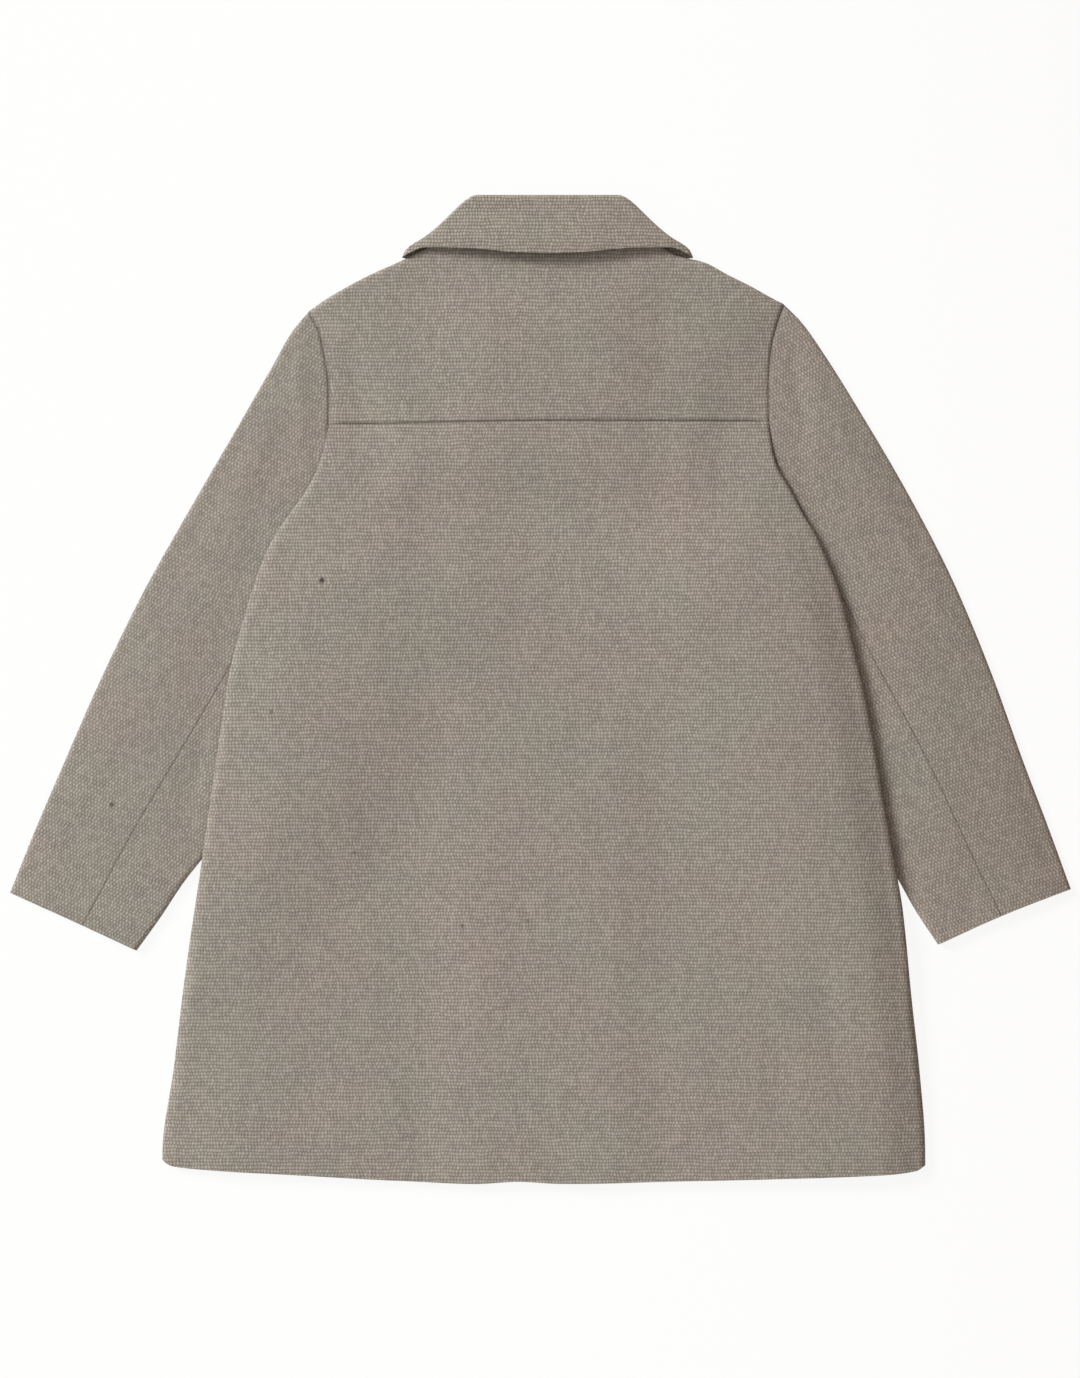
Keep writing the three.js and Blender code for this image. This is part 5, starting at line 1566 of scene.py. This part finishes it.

# %% [markdown]
# ## Slots and cut sizes
# Every piece rides on the one body of the model. Its cut size is stated as it would be measured flat,
# before it was laid down. The shells give only the bent surface, so half of it is printed beside the
# stated area.

# %% Slots and sheets
FRONTS = [front_left, front_right]
SHEETS = [
    {"piece": back, "flat": (0.704, 0.702), "area": 0.420, "held": "laid", "on": FRONTS},
    {"piece": yoke, "flat": (0.438, 0.173), "area": 0.064, "held": "laid", "on": FRONTS},
    {"piece": front_left, "flat": (0.388, 0.872), "area": 0.259, "held": "laid",
     "on": [front_right, "floor"]},
    {"piece": front_right, "flat": (0.385, 0.872), "area": 0.261, "held": "laid", "on": ["floor"]},
    {"piece": sleeve_top_left, "flat": (0.400, 0.602), "area": 0.126, "held": "folded", "on": ["floor"]},
    {"piece": sleeve_under_left, "flat": (0.140, 0.480), "area": 0.039, "held": "folded", "on": ["floor"]},
    {"piece": sleeve_top_right, "flat": (0.398, 0.600), "area": 0.126, "held": "folded", "on": ["floor"]},
    {"piece": sleeve_under_right, "flat": (0.156, 0.480), "area": 0.043, "held": "folded", "on": ["floor"]},
    {"piece": fall, "flat": (0.545, 0.095), "area": 0.0355, "held": "folded", "on": [yoke, stand]},
    {"piece": stand, "flat": (0.460, 0.052), "area": 0.0156, "held": "folded", "on": [fall]},
]
WOOL_OF = {"sleeve": wool_sleeve, "collar": wool_collar}

for row in SHEETS:
    piece = row["piece"]
    kind = piece.name.split("_")[1]
    piece.data.materials.append(WOOL_OF.get(kind, wool_body))
    half_surface = sum(face.area for face in piece.data.polygons) / 2
    print(piece.name, "cut area", row["area"], "half surface", round(half_surface, 4), "m2")

# %% [markdown]
# ## Floor
# The coat lies on a plain white ground. The ground gives off a little light of its own, as a lit
# sweep does, so that it stays white beside the coat. A bare white plane would turn grey in the
# shadow of the coat, which the photo doesn't show.

# %% Floor
FLOOR_SIZE = 8
FLOOR_GAP = 0.0005


def make_floor():
    bpy.ops.mesh.primitive_plane_add(size=FLOOR_SIZE, location=(0, 0, -FLOOR_GAP))
    floor = bpy.context.object
    floor.name = "floor"
    material = bpy.data.materials.new("white_ground")
    material.use_nodes = True
    shader = next(n for n in material.node_tree.nodes if n.type == "BSDF_PRINCIPLED")
    shader.inputs["Base Color"].default_value = (0.08, 0.08, 0.08, 1)
    shader.inputs["Roughness"].default_value = 1
    shader.inputs["Specular IOR Level"].default_value = 0
    shader.inputs["Emission Color"].default_value = (1, 0.998, 0.994, 1)
    shader.inputs["Emission Strength"].default_value = 0.9
    floor.data.materials.append(material)
    return floor


make_floor()
print("ground", FLOOR_SIZE, "m wide")

# %% [markdown]
# ## Dark card
# A dark card on the right makes that side of the coat a little darker and warmer. A second, weaker
# lamp could not do that without shadows of its own. The camera doesn't see the card.

# %% Dark card
FLAG_PLACE = (0.55, -0.05, 0.26)
FLAG_SIZE = (1.7, 0.52)


def make_flag():
    """A low dark card just outside the picture on the right, which takes fill light from that side."""
    bpy.ops.mesh.primitive_plane_add(size=1, location=FLAG_PLACE, rotation=(math.pi / 2, 0, math.pi / 2))
    flag = bpy.context.object
    flag.name = "flag"
    flag.scale = (*FLAG_SIZE, 1)
    flag.visible_camera = False
    material = bpy.data.materials.new("dark_card")
    material.use_nodes = True
    shader = next(n for n in material.node_tree.nodes if n.type == "BSDF_PRINCIPLED")
    shader.inputs["Base Color"].default_value = (0.03, 0.012, 0.006, 1)
    shader.inputs["Roughness"].default_value = 1
    shader.inputs["Specular IOR Level"].default_value = 0
    shader.inputs["Emission Color"].default_value = (1, 0.3, 0.05, 1)
    shader.inputs["Emission Strength"].default_value = 0.14
    flag.data.materials.append(material)
    return flag


make_flag()
print("dark card at", FLAG_PLACE)

# %% [markdown]
# ## Lamp and fill
# The lamp is a wide disc, so each shadow has a dark core and a soft rim. It stands low, because
# only raking light brings out such flat creases. The even fill comes from the world around.

# %% Lamp and fill
KEY_FROM = (-5.9, 4.15, 3.4)
KEY_AT = (-0.12, 0.05, 0)
KEY_POWER = 6100
KEY_RADIUS = 1.9
KEY_CONE = math.radians(24)
KEY_BLEND = 0.6
FILL = 0.67
FILL_COLOUR = (1, 0.982, 0.952, 1)


def make_light():
    lamp = bpy.data.lights.new("key", "SPOT")
    lamp.energy = KEY_POWER
    lamp.shadow_soft_size = KEY_RADIUS
    lamp.spot_size = KEY_CONE
    lamp.spot_blend = KEY_BLEND
    key = bpy.data.objects.new("key", lamp)
    key.location = KEY_FROM
    key.rotation_euler = (Vector(KEY_FROM) - Vector(KEY_AT)).to_track_quat("Z", "Y").to_euler()
    bpy.context.scene.collection.objects.link(key)
    world = bpy.data.worlds.new("studio")
    world.use_nodes = True
    background = next(n for n in world.node_tree.nodes if n.type == "BACKGROUND")
    background.inputs["Color"].default_value = FILL_COLOUR
    background.inputs["Strength"].default_value = FILL
    bpy.context.scene.world = world


make_light()
bpy.context.scene.view_settings.view_transform = "Standard"
print("lamp", KEY_POWER, "W, fill", FILL)

# %% Finish
bpy.context.view_layer.update()
